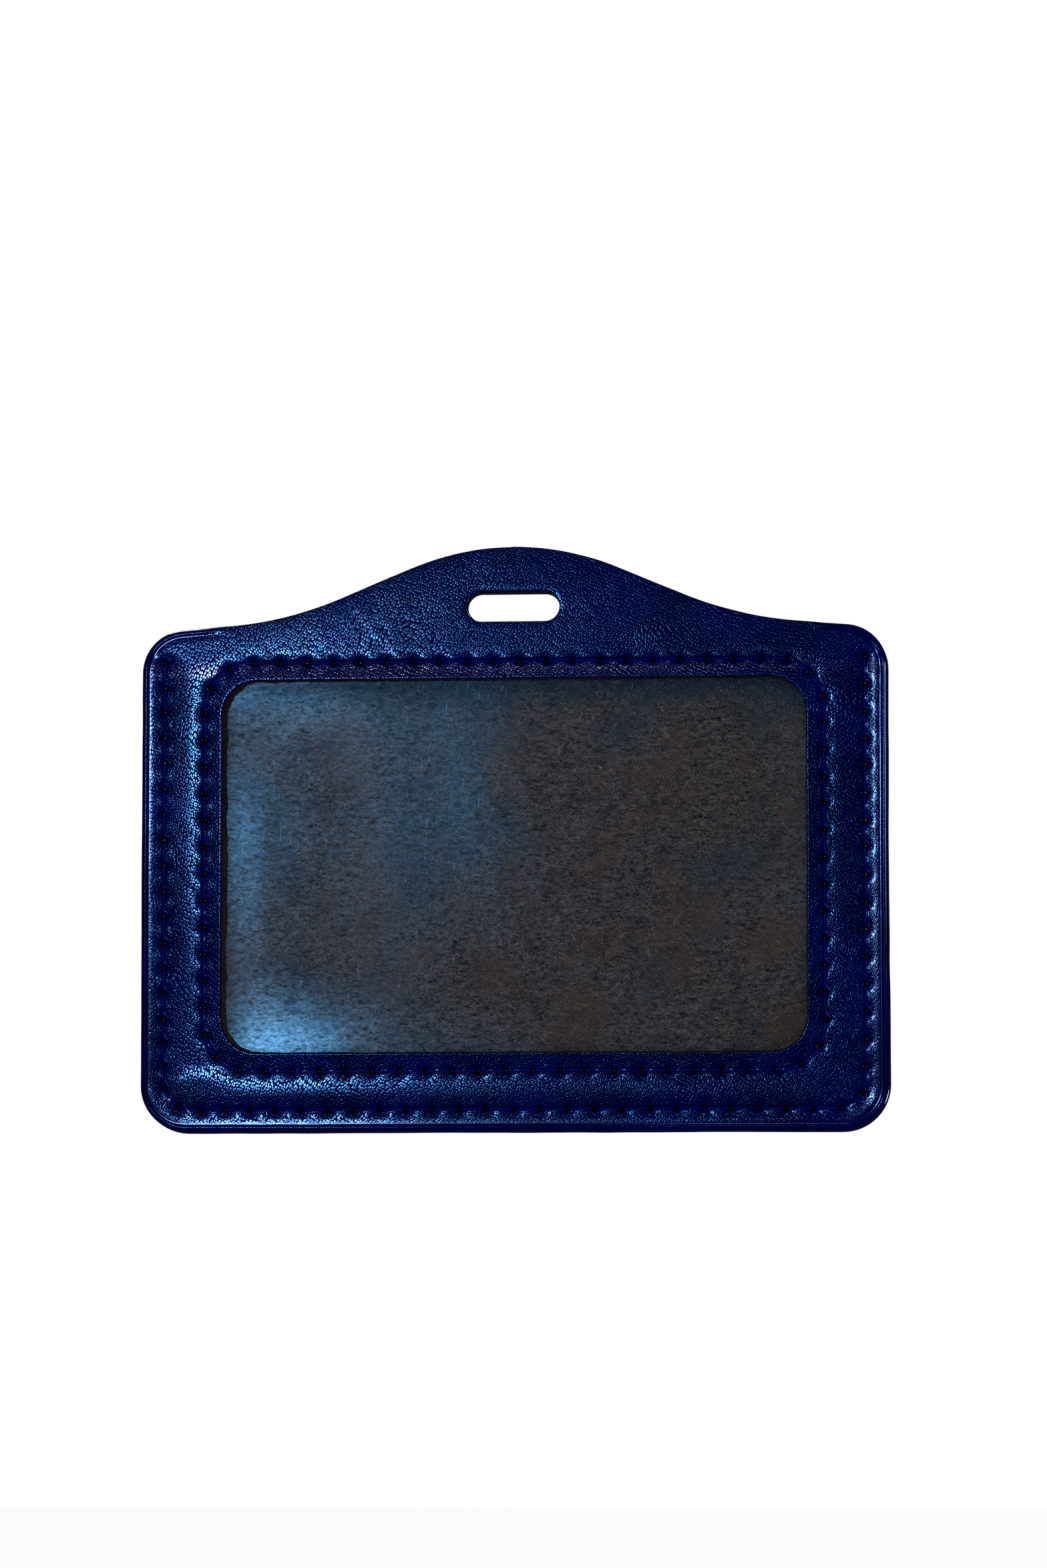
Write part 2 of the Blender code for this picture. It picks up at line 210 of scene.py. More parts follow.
class UPath:
    """The perimeter seam: from its upper left end down, along the bottom and up to its upper right end.
    Side is 1 towards the window and -1 towards the edge."""

    def __init__(self):
        self.r = EDGE_SEAM_R
        self.hx = EDGE_SEAM_X - EDGE_SEAM_R
        self.zc = EDGE_SEAM_BOTTOM + EDGE_SEAM_R
        self.run = EDGE_SEAM_TOP - self.zc
        self.half = self.run + math.pi * self.r / 2 + self.hx
        self.total = 2 * self.half

    def near(self, q):
        x, z = q[:, 0], q[:, 1]
        ax, az = np.abs(x) - self.hx, self.zc - z
        sd = np.hypot(np.maximum(ax, 0), np.maximum(az, 0)) + np.minimum(np.maximum(ax, az), 0) - self.r
        corner = (ax > 0) & (az > 0)
        s = np.where(az > ax, self.half - np.minimum(np.abs(x), self.hx), EDGE_SEAM_TOP - np.maximum(z, self.zc))
        s = np.where(corner, self.run + self.r * np.arctan2(np.maximum(az, 1e-9), np.maximum(ax, 1e-9)), s)
        over = z > EDGE_SEAM_TOP
        s = np.where(over, 0.0, s)
        d = np.where(over, np.hypot(np.abs(x) - EDGE_SEAM_X, z - EDGE_SEAM_TOP), np.abs(sd))
        s = np.where(x > 0, self.total - s, s)
        return d, s, np.where(sd > 0, -1.0, 1.0)

    def at(self, s):
        s = np.clip(np.asarray(s, float), 0, self.total)
        right = s > self.half
        t = np.where(right, self.total - s, s)
        a = np.clip((t - self.run) / self.r, 0, math.pi / 2)
        x = -(self.hx + self.r * np.cos(a)) + np.maximum(t - self.run - math.pi * self.r / 2, 0)
        z = EDGE_SEAM_TOP - np.minimum(t, self.run) - self.r * np.sin(a)
        return np.c_[np.where(right, -x, x), z]


class SlotPath:
    def near(self, q):
        r = SLOT_HEIGHT / 2
        sd = np.hypot(np.maximum(np.abs(q[:, 0]) - (SLOT_LENGTH / 2 - r), 0), q[:, 1]) - r
        return np.abs(sd), None, np.where(sd > 0, 1.0, -1.0)


class LeafPath:
    """The leaf's outline. Distances are exact in a band along it, and 9 further in."""

    def __init__(self, loop):
        p = resample(loop, 0.7)
        p = np.vstack([p, p[:1]])
        self.a, self.v = p[:-1], np.diff(p, axis=0)
        self.len2 = (self.v**2).sum(1)
        half = loop[loop[:, 0] >= 0]
        upper, lower = half[half[:, 1] > -30], half[half[:, 1] < -50]
        u, w = upper[np.argsort(upper[:, 0])], lower[np.argsort(lower[:, 0])]
        self.top, self.low = u, w

    def near(self, q):
        x, z = np.abs(q[:, 0]), q[:, 1]
        d = np.full(len(q), 9.0)
        side = (z < -15) & (z > -69)
        d[side] = np.minimum(9.0, np.abs(WIDTH / 2 - x[side]))
        idx = np.where(~side & ((x > 52) | (z < -75) | (z > -13)))[0]
        for i in range(0, len(idx), 3000):
            k = idx[i : i + 3000]
            rel = q[k][:, None, :] - self.a[None]
            t = np.clip((rel * self.v[None]).sum(2) / self.len2[None], 0, 1)
            off = rel - t[..., None] * self.v[None]
            d[k] = np.sqrt((off**2).sum(2).min(1))
        return d, None, None

    def holds(self, q):
        x, z = np.abs(q[:, 0]), q[:, 1]
        top = np.interp(x, self.top[:, 0], self.top[:, 1])
        low = np.interp(x, self.low[:, 0], self.low[:, 1])
        return (x < WIDTH / 2) & (z < top) & (z > low)


def inside(q, loop):
    """Even-odd test."""
    x, z = q[:, 0][:, None], q[:, 1][:, None]
    a, b = loop, np.roll(loop, -1, 0)
    hit = (a[:, 1] > z) != (b[:, 1] > z)
    with np.errstate(divide="ignore", invalid="ignore"):
        cross = (b[:, 0] - a[:, 0]) * (z - a[:, 1]) / (b[:, 1] - a[:, 1]) + a[:, 0]
    return (hit & (x < cross)).sum(1) % 2 == 1


def ease(v, low, high):
    t = np.clip((np.asarray(v, float) - low) / (high - low), 0, 1)
    return t * t * (3 - 2 * t)


class Lattice:
    """Smooth value noise in the plane, from -1 to 1, the same on each run."""

    def __init__(self, seed, n=128):
        self.g = np.random.default_rng(seed).uniform(-1, 1, (n, n))
        self.n = n

    def __call__(self, x, z, wave):
        u, v = np.asarray(x) / wave + 1000.5, np.asarray(z) / wave + 1000.5
        i, j = np.floor(u).astype(int), np.floor(v).astype(int)
        f, g = u - i, v - j
        f, g = f**3 * (f * (f * 6 - 15) + 10), g**3 * (g * (g * 6 - 15) + 10)
        i, j, i1, j1 = i % self.n, j % self.n, (i + 1) % self.n, (j + 1) % self.n
        top = self.g[i, j] * (1 - f) + self.g[i1, j] * f
        low = self.g[i, j1] * (1 - f) + self.g[i1, j1] * f
        return top * (1 - g) + low * g


NOISE = [Lattice(k) for k in range(12)]

# --------------------------------------------------------------- seams, holes

OUTLINE = leaf_path()
window_seam = BoxPath(WINDOW_SEAM, WINDOW_SEAM_R)
edge_seam = UPath()
window_cut = BoxPath(WINDOW, WINDOW_R)
slot_cut = SlotPath()
outline_path = LeafPath(OUTLINE)

rng = np.random.default_rng(20)


def window_hole_places():
    n = 74
    s = 1.05 + np.arange(n) * window_seam.total / n
    return s + rng.uniform(-0.09, 0.09, n)


def edge_hole_places():
    """Stitches are a little shorter down the left side and tightest round its corner."""
    s, places = 0.0, [0.0]
    while s < edge_seam.total - 1.0:
        s += float(np.interp(s, [0, 8, 48, 52, 72, 80, 110], [3.65, 3.80, 3.78, 3.40, 3.55, 3.80, 4.0]))
        places.append(s)
    places = np.array(places[:-1] if places[-1] > edge_seam.total else places)
    places *= edge_seam.total / places[-1]
    places[1:-1] += rng.uniform(-0.08, 0.08, len(places) - 2)
    return places


WINDOW_HOLES = window_hole_places()
EDGE_HOLES = edge_hole_places()


def phase(s, places, total=None):
    """0 at a hole, 0.5 half way to the next one."""
    p = np.r_[places, places[0] + total] if total else places
    s = np.where(s < p[0], s + (total or 0.0), s)
    return np.mod(np.interp(s, p, np.arange(len(p))), 1.0)


def hole_points(path, places, wander, seed):
    p = path.at(places)
    r = np.random.default_rng(seed)
    return p + r.uniform(-wander, wander, p.shape)


WINDOW_HOLE_XZ = hole_points(window_seam, WINDOW_HOLES, 0.07, 3)
EDGE_HOLE_XZ = hole_points(edge_seam, EDGE_HOLES, 0.10, 4)


def nearest_of(q, centres, reach=2.5):
    """Distance and index of the nearest of a few centres, or a long distance past reach."""
    tree = KDTree(len(centres))
    for i, c in enumerate(centres):
        tree.insert((c[0], c[1], 0.0), i)
    tree.balance()
    d, k = np.full(len(q), 99.0), np.zeros(len(q), int)
    for i, (x, z) in enumerate(q):
        _, j, dist = tree.find((x, z, 0.0))
        if dist < reach:
            d[i], k[i] = dist, j
    return d, k


# ------------------------------------------------------------- triangulations


def hexes(box, step, keep):
    x0, x1, z0, z1 = box
    rows = np.arange(z0, z1, step * math.sqrt(3) / 2)
    pts = []
    for i, z in enumerate(rows):
        x = np.arange(x0 + (step / 2 if i % 2 else 0.0), x1, step)
        pts.append(np.c_[x, np.full(len(x), z)])
    p = np.vstack(pts)
    return p[keep(p)]


def thin_out(kept, more, gap):
    """Points of more that stay at least gap from every kept one."""
    tree = KDTree(len(kept))
    for i, (x, z) in enumerate(kept):
        tree.insert((x, z, 0.0), i)
    tree.balance()
    ok = np.array([tree.find((x, z, 0.0))[2] > gap for x, z in more], bool)
    return more[ok]


def triangulate(loops, extra):
    """Triangles of the region inside the first loop and outside the others. Loop points come first."""
    pts = np.vstack([*loops, extra]) if len(extra) else np.vstack(loops)
    edges, start = [], 0
    for loop in loops:
        n = len(loop)
        edges += [(start + i, start + (i + 1) % n) for i in range(n)]
        start += n
    verts, _, faces, back, _, _ = delaunay_2d_cdt([Vector(p) for p in pts.tolist()], edges, [], 0, 1e-6)
    if len(verts) != len(pts):
        raise RuntimeError(f"triangulation moved points: {len(verts)} for {len(pts)}")
    to_input = np.array([b[0] for b in back])
    tri = to_input[np.array(faces)]
    a, b, c = pts[tri[:, 0]], pts[tri[:, 1]], pts[tri[:, 2]]
    area = (b[:, 0] - a[:, 0]) * (c[:, 1] - a[:, 1]) - (c[:, 0] - a[:, 0]) * (b[:, 1] - a[:, 1])
    tri[area < 0] = tri[area < 0][:, ::-1]
    rim = (tri < start).all(1)
    mid = (a + b + c) / 3
    good = np.ones(len(tri), bool)
    idx = np.where(rim)[0]
    ok = inside(mid[idx], loops[0])
    for loop in loops[1:]:
        ok &= ~inside(mid[idx], loop)
    good[idx] = ok
    return pts, tri[good], start


def solid(name, top, bottom, loops, faces_to, wall_steps=(0.5,), values=None, wall_values=None, wall_shape=None):
    """A closed sheet. top and bottom are (plane points, triangles, y of each point) with the same
    boundary loops first; the top looks towards faces_to (-1 for -Y, 1 for +Y)."""
    (pt, tt, yt), (pb, tb, yb) = top, bottom
    nt, nb = len(pt), len(pb)
    xyz = [np.c_[pt[:, 0], yt, pt[:, 1]], np.c_[pb[:, 0], yb, pb[:, 1]]]
    attrs = {k: [np.asarray(v, np.float32), np.zeros(nb, np.float32)] for k, v in (values or {}).items()}
    # plane triangles are counter-clockwise in X-Z, which looks towards -Y
    tris = [tt if faces_to < 0 else tt[:, ::-1], (tb[:, ::-1] if faces_to < 0 else tb) + nt]
    base, start = nt + nb, 0
    for li, n in enumerate(loops):
        i = np.arange(n)
        rows = [start + i]
        p_top, p_low = xyz[0][start : start + n], xyz[1][start : start + n]
        for k, t in enumerate(wall_steps):
            p = p_top * (1 - t) + p_low * t
            if wall_shape is not None:
                p = wall_shape(li, k, p)
            xyz.append(p)
            rows.append(base + i)
            for key in attrs:
                v = np.zeros(n, np.float32)
                if wall_values and key in wall_values:
                    v[:] = wall_values[key](li, k, p)
                attrs[key].append(v)
            base += n
        rows.append(nt + start + i)
        a = pt[start : start + n]
        area = np.sum(a[:, 0] * np.roll(a[:, 1], -1) - np.roll(a[:, 0], -1) * a[:, 1])
        outer = li == 0
        flip = (area > 0) == outer
        for r0, r1 in zip(rows, rows[1:]):
            j = (i + 1) % n
            q = np.c_[r0[i], r0[j], r1[j], r1[i]]
            if flip == (faces_to < 0):
                q = q[:, ::-1]
            tris += [q[:, [0, 1, 2]], q[:, [0, 2, 3]]]
        start += n
    if wall_values:
        lo = 0
        for li, n in enumerate(loops):
            for key in attrs:
                if key in wall_values:
                    attrs[key][1][lo : lo + n] = wall_values[key](li, len(wall_steps), xyz[1][lo : lo + n])
            lo += n
    return make_mesh(name, np.vstack(xyz), np.vstack(tris), {k: np.concatenate(v) for k, v in attrs.items()})


def make_mesh(name, xyz_mm, tris, attrs=None, smooth=True, sharp_deg=48):
    mesh = bpy.data.meshes.new(name)
    n, f = len(xyz_mm), len(tris)
    mesh.vertices.add(n)
    mesh.vertices.foreach_set("co", (xyz_mm * MM).astype(np.float32).ravel())
    mesh.loops.add(3 * f)
    mesh.loops.foreach_set("vertex_index", tris.astype(np.int32).ravel())
    mesh.polygons.add(f)
    mesh.polygons.foreach_set("loop_start", np.arange(0, 3 * f, 3, dtype=np.int32))
    mesh.update(calc_edges=True)
    if mesh.validate(verbose=False):
        print("note: mesh", name, "was repaired")
    for key, v in (attrs or {}).items():
        if v.ndim == 1:
            mesh.attributes.new(key, "FLOAT", "POINT").data.foreach_set("value", v.astype(np.float32))
        else:
            mesh.attributes.new(key, "FLOAT_VECTOR", "POINT").data.foreach_set("vector", v.astype(np.float32).ravel())
    if smooth:
        mesh.shade_smooth()
        if sharp_deg:
            mesh.set_sharp_from_angle(angle=math.radians(sharp_deg))
    obj = bpy.data.objects.new(name, mesh)
    bpy.context.scene.collection.objects.link(obj)
    return obj


# --------------------------------------------------------------- grain layout


def grain_coordinates(x, z):
    """Plane coordinates counted in grain cells: rows of pebbles that lean and curve over the leaf."""
    big, mid = NOISE[0], NOISE[1]
    wx = x + 2.6 * big(x, z, 17.0) + 0.75 * mid(x, z, 5.2)
    wz = z + 2.6 * NOISE[2](x, z, 19.0) + 0.75 * NOISE[3](x, z, 4.7)
    lean = math.radians(62)
    u = wx * math.cos(lean) + wz * math.sin(lean)
    v = -wx * math.sin(lean) + wz * math.cos(lean)
    return np.c_[u / 0.46, v / 0.37, np.zeros(len(u))]


# --------------------------------------------------------------- front leather

OUT = resample(OUTLINE, 0.30)
OUT_N = inward(OUT)
s_out = np.arange(len(OUT)) * 0.30
OUT = OUT + OUT_N * (0.05 * NOISE[4](s_out, 0 * s_out, 14.0) + 0.03 * NOISE[5](s_out, 0 * s_out, 4.0))[:, None]
OUT_N = inward(OUT)
CUT_W = resample(box_path(WINDOW, WINDOW_R), 0.30)
CUT_W_N = inward(CUT_W)
CUT_S = resample(slot_path(), 0.28)
CUT_S_N = inward(CUT_S)


def rings(loop, normals, depths):
    return [loop + normals * d for d in depths]


def bead_weight(x, z):
    """1 where the leaf's front edge is pressed into a rounded bead, 0 along the hump."""
    return np.where(z < -4.0, 1.0, ease(np.abs(x), 43.5, 48.0))


def seam_rise(t, steep, fall, dome, width):
    """How far the leather has come up again at t mm from a seam, as a part of the whole rise."""
    swell = np.sin(np.pi / 2 * np.minimum(t / width, 1))
    return (steep * (1 - np.exp(-t / fall)) + dome * swell) / (steep + dome)


def seam_marks(q, tw, sw, te, se, rw, re):
    """What stitches do to the leather: deeper at each needle hole, fuller between two of them."""
    fw = np.cos(2 * np.pi * phase(sw, WINDOW_HOLES, window_seam.total))
    fe = np.cos(2 * np.pi * phase(se, EDGE_HOLES))
    h = -0.075 * fw * np.exp(-((tw / 0.85) ** 2)) - 0.075 * fe * np.exp(-((te / 0.85) ** 2))
    r = np.minimum(rw, re)
    h -= 0.13 * np.exp(-((r / 0.66) ** 2)) + 0.24 * (1 - ease(r, 0.26, 0.56))
    return h, r


def front_height(q, d_out=None):
    """Height of the front face over FRONT_FACE, towards the viewer, and its surface values."""
    x, z = q[:, 0], q[:, 1]
    tw, sw, side_w = window_seam.near(q)
    te, se, side_e = edge_seam.near(q)
    do = outline_path.near(q)[0] if d_out is None else d_out
    dc = window_cut.near(q)[0]
    dl = slot_cut.near(q)[0]
    rw, _ = nearest_of(q, WINDOW_HOLE_XZ)
    re, _ = nearest_of(q, EDGE_HOLE_XZ)
    inner = side_w < 0
    low = 1 - ease(z, -8.6, -6.0)
    outer = np.where(side_e < 0, 1.0, 0.0) * low * ease(te, 0.0, 0.5)
    foot = ease(-z, 68.5, 71.0) * ease(tw, 0.0, 0.6)
    sides = (1 - outer) * (1 - foot) * low
    right = sides * ease(x, 30.0, 44.0)
    steep_w = seam_rise(tw, 0.27, 0.17, 0.06 + 0.15 * foot + 0.10 * right, 2.2 + 1.6 * foot + 0.5 * right)
    steep_e = seam_rise(te, 0.24 - 0.08 * sides, 0.26, 0.10 + 0.17 * sides, 2.4 + 2.4 * sides)
    h = -0.34 + (0.34 + 0.11 * foot) * steep_w * steep_e
    rim = -0.34 + 0.10 * (1 - np.exp(-te / 0.22)) + 0.112 * np.minimum(te, 2.5)
    h = h + (rim - h) * outer
    margin = -0.34 + 0.11 * (1 - np.exp(-tw / 0.20)) + 0.085 * np.minimum(tw, 2.6)
    h = np.where(inner, margin, h)
    marks, r = seam_marks(q, tw, sw, te, se, rw, re)
    h = h + marks
    # slow unevenness, and fine wrinkles that gather beside the seams and on the shoulders
    soft = np.minimum(1, te / 1.2) * np.minimum(1, tw / 1.2)
    h += soft * (0.009 * NOISE[6](x, z, 8.5) + 0.004 * NOISE[7](x, z, 2.9))
    lean = x * math.cos(math.radians(35)) + z * math.sin(math.radians(35))
    across = -x * math.sin(math.radians(35)) + z * math.cos(math.radians(35))
    gather = np.clip(0.35 + 0.9 * NOISE[8](x, z, 16.0), 0, 1)
    h += soft * gather * 0.008 * NOISE[9](lean * 2.6 + 1.4 * NOISE[1](x, z, 6.0), across, 2.4)
    # edges
    h -= (1 - low) * 0.11 * np.exp(-do / 2.3)
    wb = bead_weight(x, z)
    valley = -0.07 * np.exp(-(((do - 1.10) / 0.26) ** 2))
    crest = 0.13 * np.exp(-(((do - 0.66) / 0.17) ** 2))
    flank = 1 - np.sqrt(np.clip(1 - (1 - np.clip(do / 0.62, 0, 1)) ** 2, 0, 1))
    round_off = 1 - np.sqrt(np.clip(1 - (1 - np.clip(do / 0.22, 0, 1)) ** 2, 0, 1))
    h += wb * (valley + crest - 0.85 * flank) - (1 - wb) * 0.20 * round_off
    cut_round = 1 - np.sqrt(np.clip(1 - (1 - np.clip(dc / 0.16, 0, 1)) ** 2, 0, 1))
    h -= 0.14 * cut_round
    slot_round = 1 - np.sqrt(np.clip(1 - (1 - np.clip(dl / 0.16, 0, 1)) ** 2, 0, 1))
    h -= 0.13 * slot_round + 0.04 * (1 - ease(dl, 0, 0.8))
    smooth = np.maximum.reduce(
        [
            wb * (1 - ease(do, 1.20, 1.55)),
            (1 - wb) * (1 - ease(do, 0.05, 0.30)),
            0.85 * (1 - ease(np.minimum(tw, te), 0.15, 0.55)),
            0.72 * outer * ease(te, 0.45, 1.1) * ease(x, 25.0, 45.0),
            1 - ease(r, 0.35, 0.85),
            1 - ease(np.minimum(dc, dl), 0.05, 0.22),
        ]
    )
    # the needle holes, which the leather's material darkens with painted shade
    hole_shade = 1 - ease(r, 0.36, 0.60)
    return np.maximum(h, -0.72), {"smooth": smooth, "hole_shade": hole_shade}


def around(centres, radii=((0.0, 1), (0.14, 6), (0.27, 9), (0.42, 12), (0.60, 14))):
    pts = []
    for radius, n in radii:
        a = np.arange(n) * 2 * np.pi / n + radius
        for c in centres:
            pts.append(np.c_[c[0] + radius * np.cos(a), c[1] + radius * np.sin(a)])
    return np.vstack(pts)


def domain(q, margin_out, holes):
    ok = outline_path.holds(q)
    for path, gap in holes:
        d, _, side = path.near(q)
        ok &= (side > 0) & (d > gap)
    ok[ok] = outline_path.near(q[ok])[0] > margin_out
    return ok


EDGE_RINGS = (0.03, 0.08, 0.15, 0.24, 0.36, 0.48, 0.60, 0.72, 0.86, 1.02, 1.22)
HOLE_RINGS = (-0.03, -0.08, -0.16, -0.30)


def front_leather():
    loops = [OUT, CUT_W, CUT_S]
    fixed = rings(OUT, OUT_N, EDGE_RINGS) + rings(CUT_W, CUT_W_N, HOLE_RINGS) + rings(CUT_S, CUT_S_N, HOLE_RINGS)
    fixed_d = np.concatenate([np.full(len(OUT), d) for d in EDGE_RINGS])
    base = np.vstack(loops + fixed)
    pits = thin_out(base, around(np.vstack([WINDOW_HOLE_XZ, EDGE_HOLE_XZ])), 0.05)
    kept = np.vstack([base, pits])
    holes = [(window_cut, 0.40), (slot_cut, 0.40)]
    box = (-56.5, 56.5, -79, 9.5)

    def near_seam(p):
        return np.minimum(window_seam.near(p)[0], edge_seam.near(p)[0])

    fine = hexes(box, 0.25, lambda p: np.ones(len(p), bool))
    fine = fine[near_seam(fine) < 1.35]
    fine = fine[domain(fine, 1.34, holes)]
    coarse = hexes(box, 0.42, lambda p: np.ones(len(p), bool))
    coarse = coarse[near_seam(coarse) >= 1.45]
    coarse = coarse[domain(coarse, 1.45, holes)]
    more = thin_out(kept, np.vstack([fine, coarse]), 0.13)
    extra = np.vstack(fixed + [pits, more])
    pts, tri, start = triangulate(loops, extra)
    d_out = outline_path.near(pts)[0]
    d_out[: len(OUT)] = 0.0
    d_out[start : start + len(fixed_d)] = fixed_d
    h, values = front_height(pts, d_out)
    y = FRONT_FACE - h
    values["cut"] = np.zeros(len(pts))
    values["grain_x"] = grain_coordinates(pts[:, 0], pts[:, 1])[:, 0]

    # the leaf's back, with the turned rim beside the pocket
    back_rings = rings(OUT, OUT_N, (0.06, 0.22, 0.80, 0.95))
    back_d = np.concatenate([np.full(len(OUT), d) for d in (0.06, 0.22, 0.80, 0.95)])
    bp, bt, bstart = triangulate(loops, np.vstack(back_rings))
    bd = np.full(len(bp), 9.0)
    bd[: len(OUT)] = 0.0
    bd[bstart : bstart + len(back_d)] = back_d
    rim = np.tile(ease(-OUT[:, 1], 5.0, 9.5), 5)
    rim_all = np.zeros(len(bp))
    rim_all[: len(OUT)] = rim[: len(OUT)]
    rim_all[bstart : bstart + len(back_d)] = rim[len(OUT) :]
    depth = np.where(bd < 0.03, RIM_BACK - 0.09, np.where(bd < 0.1, RIM_BACK - 0.03, RIM_BACK))
    by = np.where(bd < 0.9, FRONT_BACK + (depth - FRONT_BACK) * rim_all, FRONT_BACK)

    beads = bead_weight(OUT[:, 0], OUT[:, 1])

    def cut_value(li, k, p):
        return (1 - beads) if li == 0 else 1.0

    values.pop("grain_x")
    obj = solid(
        "front_leather_leaf",
        (pts, tri, y),
        (bp, bt, by),
        [len(OUT), len(CUT_W), len(CUT_S)],
        -1,
        wall_steps=(0.06, 0.30, 0.55, 0.80),
        values=values,
        wall_values={"cut": cut_value, "smooth": lambda li, k, p: 1.0},
    )
    return obj


def add_grain(obj):
    """Grain coordinates on every vertex, from where it is on the leaf."""
    n = len(obj.data.vertices)
    co = np.empty(3 * n, np.float32)
    obj.data.vertices.foreach_get("co", co)
    co = co.reshape(-1, 3) / MM
    g = grain_coordinates(co[:, 0].astype(float), co[:, 2].astype(float))
    g[:, 1] += co[:, 1] / 0.35
    obj.data.attributes.new("grain", "FLOAT_VECTOR", "POINT").data.foreach_set("vector", g.astype(np.float32).ravel())


# ---------------------------------------------------------------- rear leather

REAR_OUT = OUT - OUT_N * (0.04 + 0.10 * ease(-OUT[:, 1], 52, 60) - 0.03 * NOISE[5](s_out, 7 + 0 * s_out, 9.0))[:, None]
REAR_N = inward(REAR_OUT)


def rear_height(q, d_out):
    """Height of the rear face over REAR_FACE, away from the pocket."""
    x, z = q[:, 0], q[:, 1]
    te, se, side_e = edge_seam.near(q)
    re, _ = nearest_of(q, EDGE_HOLE_XZ)
    dl = slot_cut.near(q)[0]
    low = 1 - ease(z, -8.6, -6.0)
    outer = np.where(side_e < 0, 1.0, 0.0) * low * ease(te, 0.0, 0.5)
    dome = 0.20 - 0.06 * outer
    width = 2.6 - 0.5 * outer
    h = -0.30 + 0.22 * (1 - np.exp(-te / 0.34)) + dome * (1 - (1 - np.minimum(te / width, 1)) ** 2)
    fe = np.cos(2 * np.pi * phase(se, EDGE_HOLES))
    h -= 0.06 * fe * np.exp(-((te / 0.85) ** 2))
    h -= 0.10 * np.exp(-((re / 0.55) ** 2)) + 0.26 * (1 - ease(re, 0.12, 0.38))
    soft = np.minimum(1, te / 1.2)
    h += soft * (0.040 * NOISE[7](x, z, 11.0) + 0.014 * NOISE[6](x, z, 3.1))
    wb = bead_weight(x, z)
    valley = -0.05 * np.exp(-(((d_out - 1.05) / 0.26) ** 2))
    crest = 0.07 * np.exp(-(((d_out - 0.62) / 0.17) ** 2))
    flank = 1 - np.sqrt(np.clip(1 - (1 - np.clip(d_out / 0.45, 0, 1)) ** 2, 0, 1))
    h += wb * (valley + crest) - (0.20 + 0.20 * wb) * flank
    slot_round = 1 - np.sqrt(np.clip(1 - (1 - np.clip(dl / 0.16, 0, 1)) ** 2, 0, 1))
    h -= 0.12 * slot_round + 0.04 * (1 - ease(dl, 0, 0.8))
    smooth = np.maximum.reduce(
        [
            wb * (1 - ease(d_out, 1.10, 1.45)),
            (1 - wb) * (1 - ease(d_out, 0.05, 0.30)),
            0.85 * (1 - ease(te, 0.15, 0.55)),
            1 - ease(re, 0.32, 0.75),
            1 - ease(dl, 0.05, 0.22),
        ]
    )
    # the needle holes, which the leather's material darkens with painted shade
    return h, {"smooth": smooth, "hole_shade": 1 - ease(re, 0.16, 0.42)}


def rear_leather():
    loops = [REAR_OUT, CUT_S]
    depths = (0.03, 0.10, 0.20, 0.33, 0.48, 0.62, 0.78, 0.98, 1.22)
    fixed = rings(REAR_OUT, REAR_N, depths) + rings(CUT_S, CUT_S_N, HOLE_RINGS)
    fixed_d = np.concatenate([np.full(len(REAR_OUT), d) for d in depths])
    base = np.vstack(loops + fixed)
    pits = thin_out(base, around(EDGE_HOLE_XZ), 0.05)
    kept = np.vstack([base, pits])
    holes = [(slot_cut, 0.40)]
    box = (-56.5, 56.5, -79, 9.5)
    fine = hexes(box, 0.27, lambda p: edge_seam.near(p)[0] < 1.3)
    fine = fine[domain(fine, 1.34, holes)]
    coarse = hexes(box, 0.72, lambda p: edge_seam.near(p)[0] >= 1.5)
    coarse = coarse[domain(coarse, 1.5, holes)]
    more = thin_out(kept, np.vstack([fine, coarse]), 0.15)
    pts, tri, start = triangulate(loops, np.vstack(fixed + [pits, more]))
    d_out = outline_path.near(pts)[0]
    d_out[: len(REAR_OUT)] = 0.0
    d_out[start : start + len(fixed_d)] = fixed_d
    h, values = rear_height(pts, d_out)
    y = REAR_FACE + h
    values["cut"] = np.zeros(len(pts))
    inner = hexes(box, 1.1, lambda p: np.ones(len(p), bool))
    inner = inner[domain(inner, 0.7, [(slot_cut, 0.5)])]
    bp, bt, _ = triangulate(loops, inner)
    by = np.full(len(bp), REAR_FRONT)
    beads = bead_weight(REAR_OUT[:, 0], REAR_OUT[:, 1])
    return solid(
        "rear_leather_leaf",
        (pts, tri, y),
        (bp, bt, by),
        [len(REAR_OUT), len(CUT_S)],
        1,
        wall_steps=(0.10, 0.40, 0.70, 0.95),
        values=values,
        wall_values={
            "cut": lambda li, k, p: 0.75 if li == 0 else 1.0,
            "smooth": lambda li, k, p: 1.0,
        },
    )


# --------------------------------------------------- backing, lining and sheet


def ragged(loop, normals, amount, seed):
    s = np.arange(len(loop)) * 0.2
    n = NOISE[seed]
    wave = 0.5 * n(s, 0 * s, 1.1) + 0.35 * n(s, 3 + 0 * s, 0.45) + 0.25 * n(s, 9 + 0 * s, 0.2)
    return loop + normals * (amount * wave)[:, None]


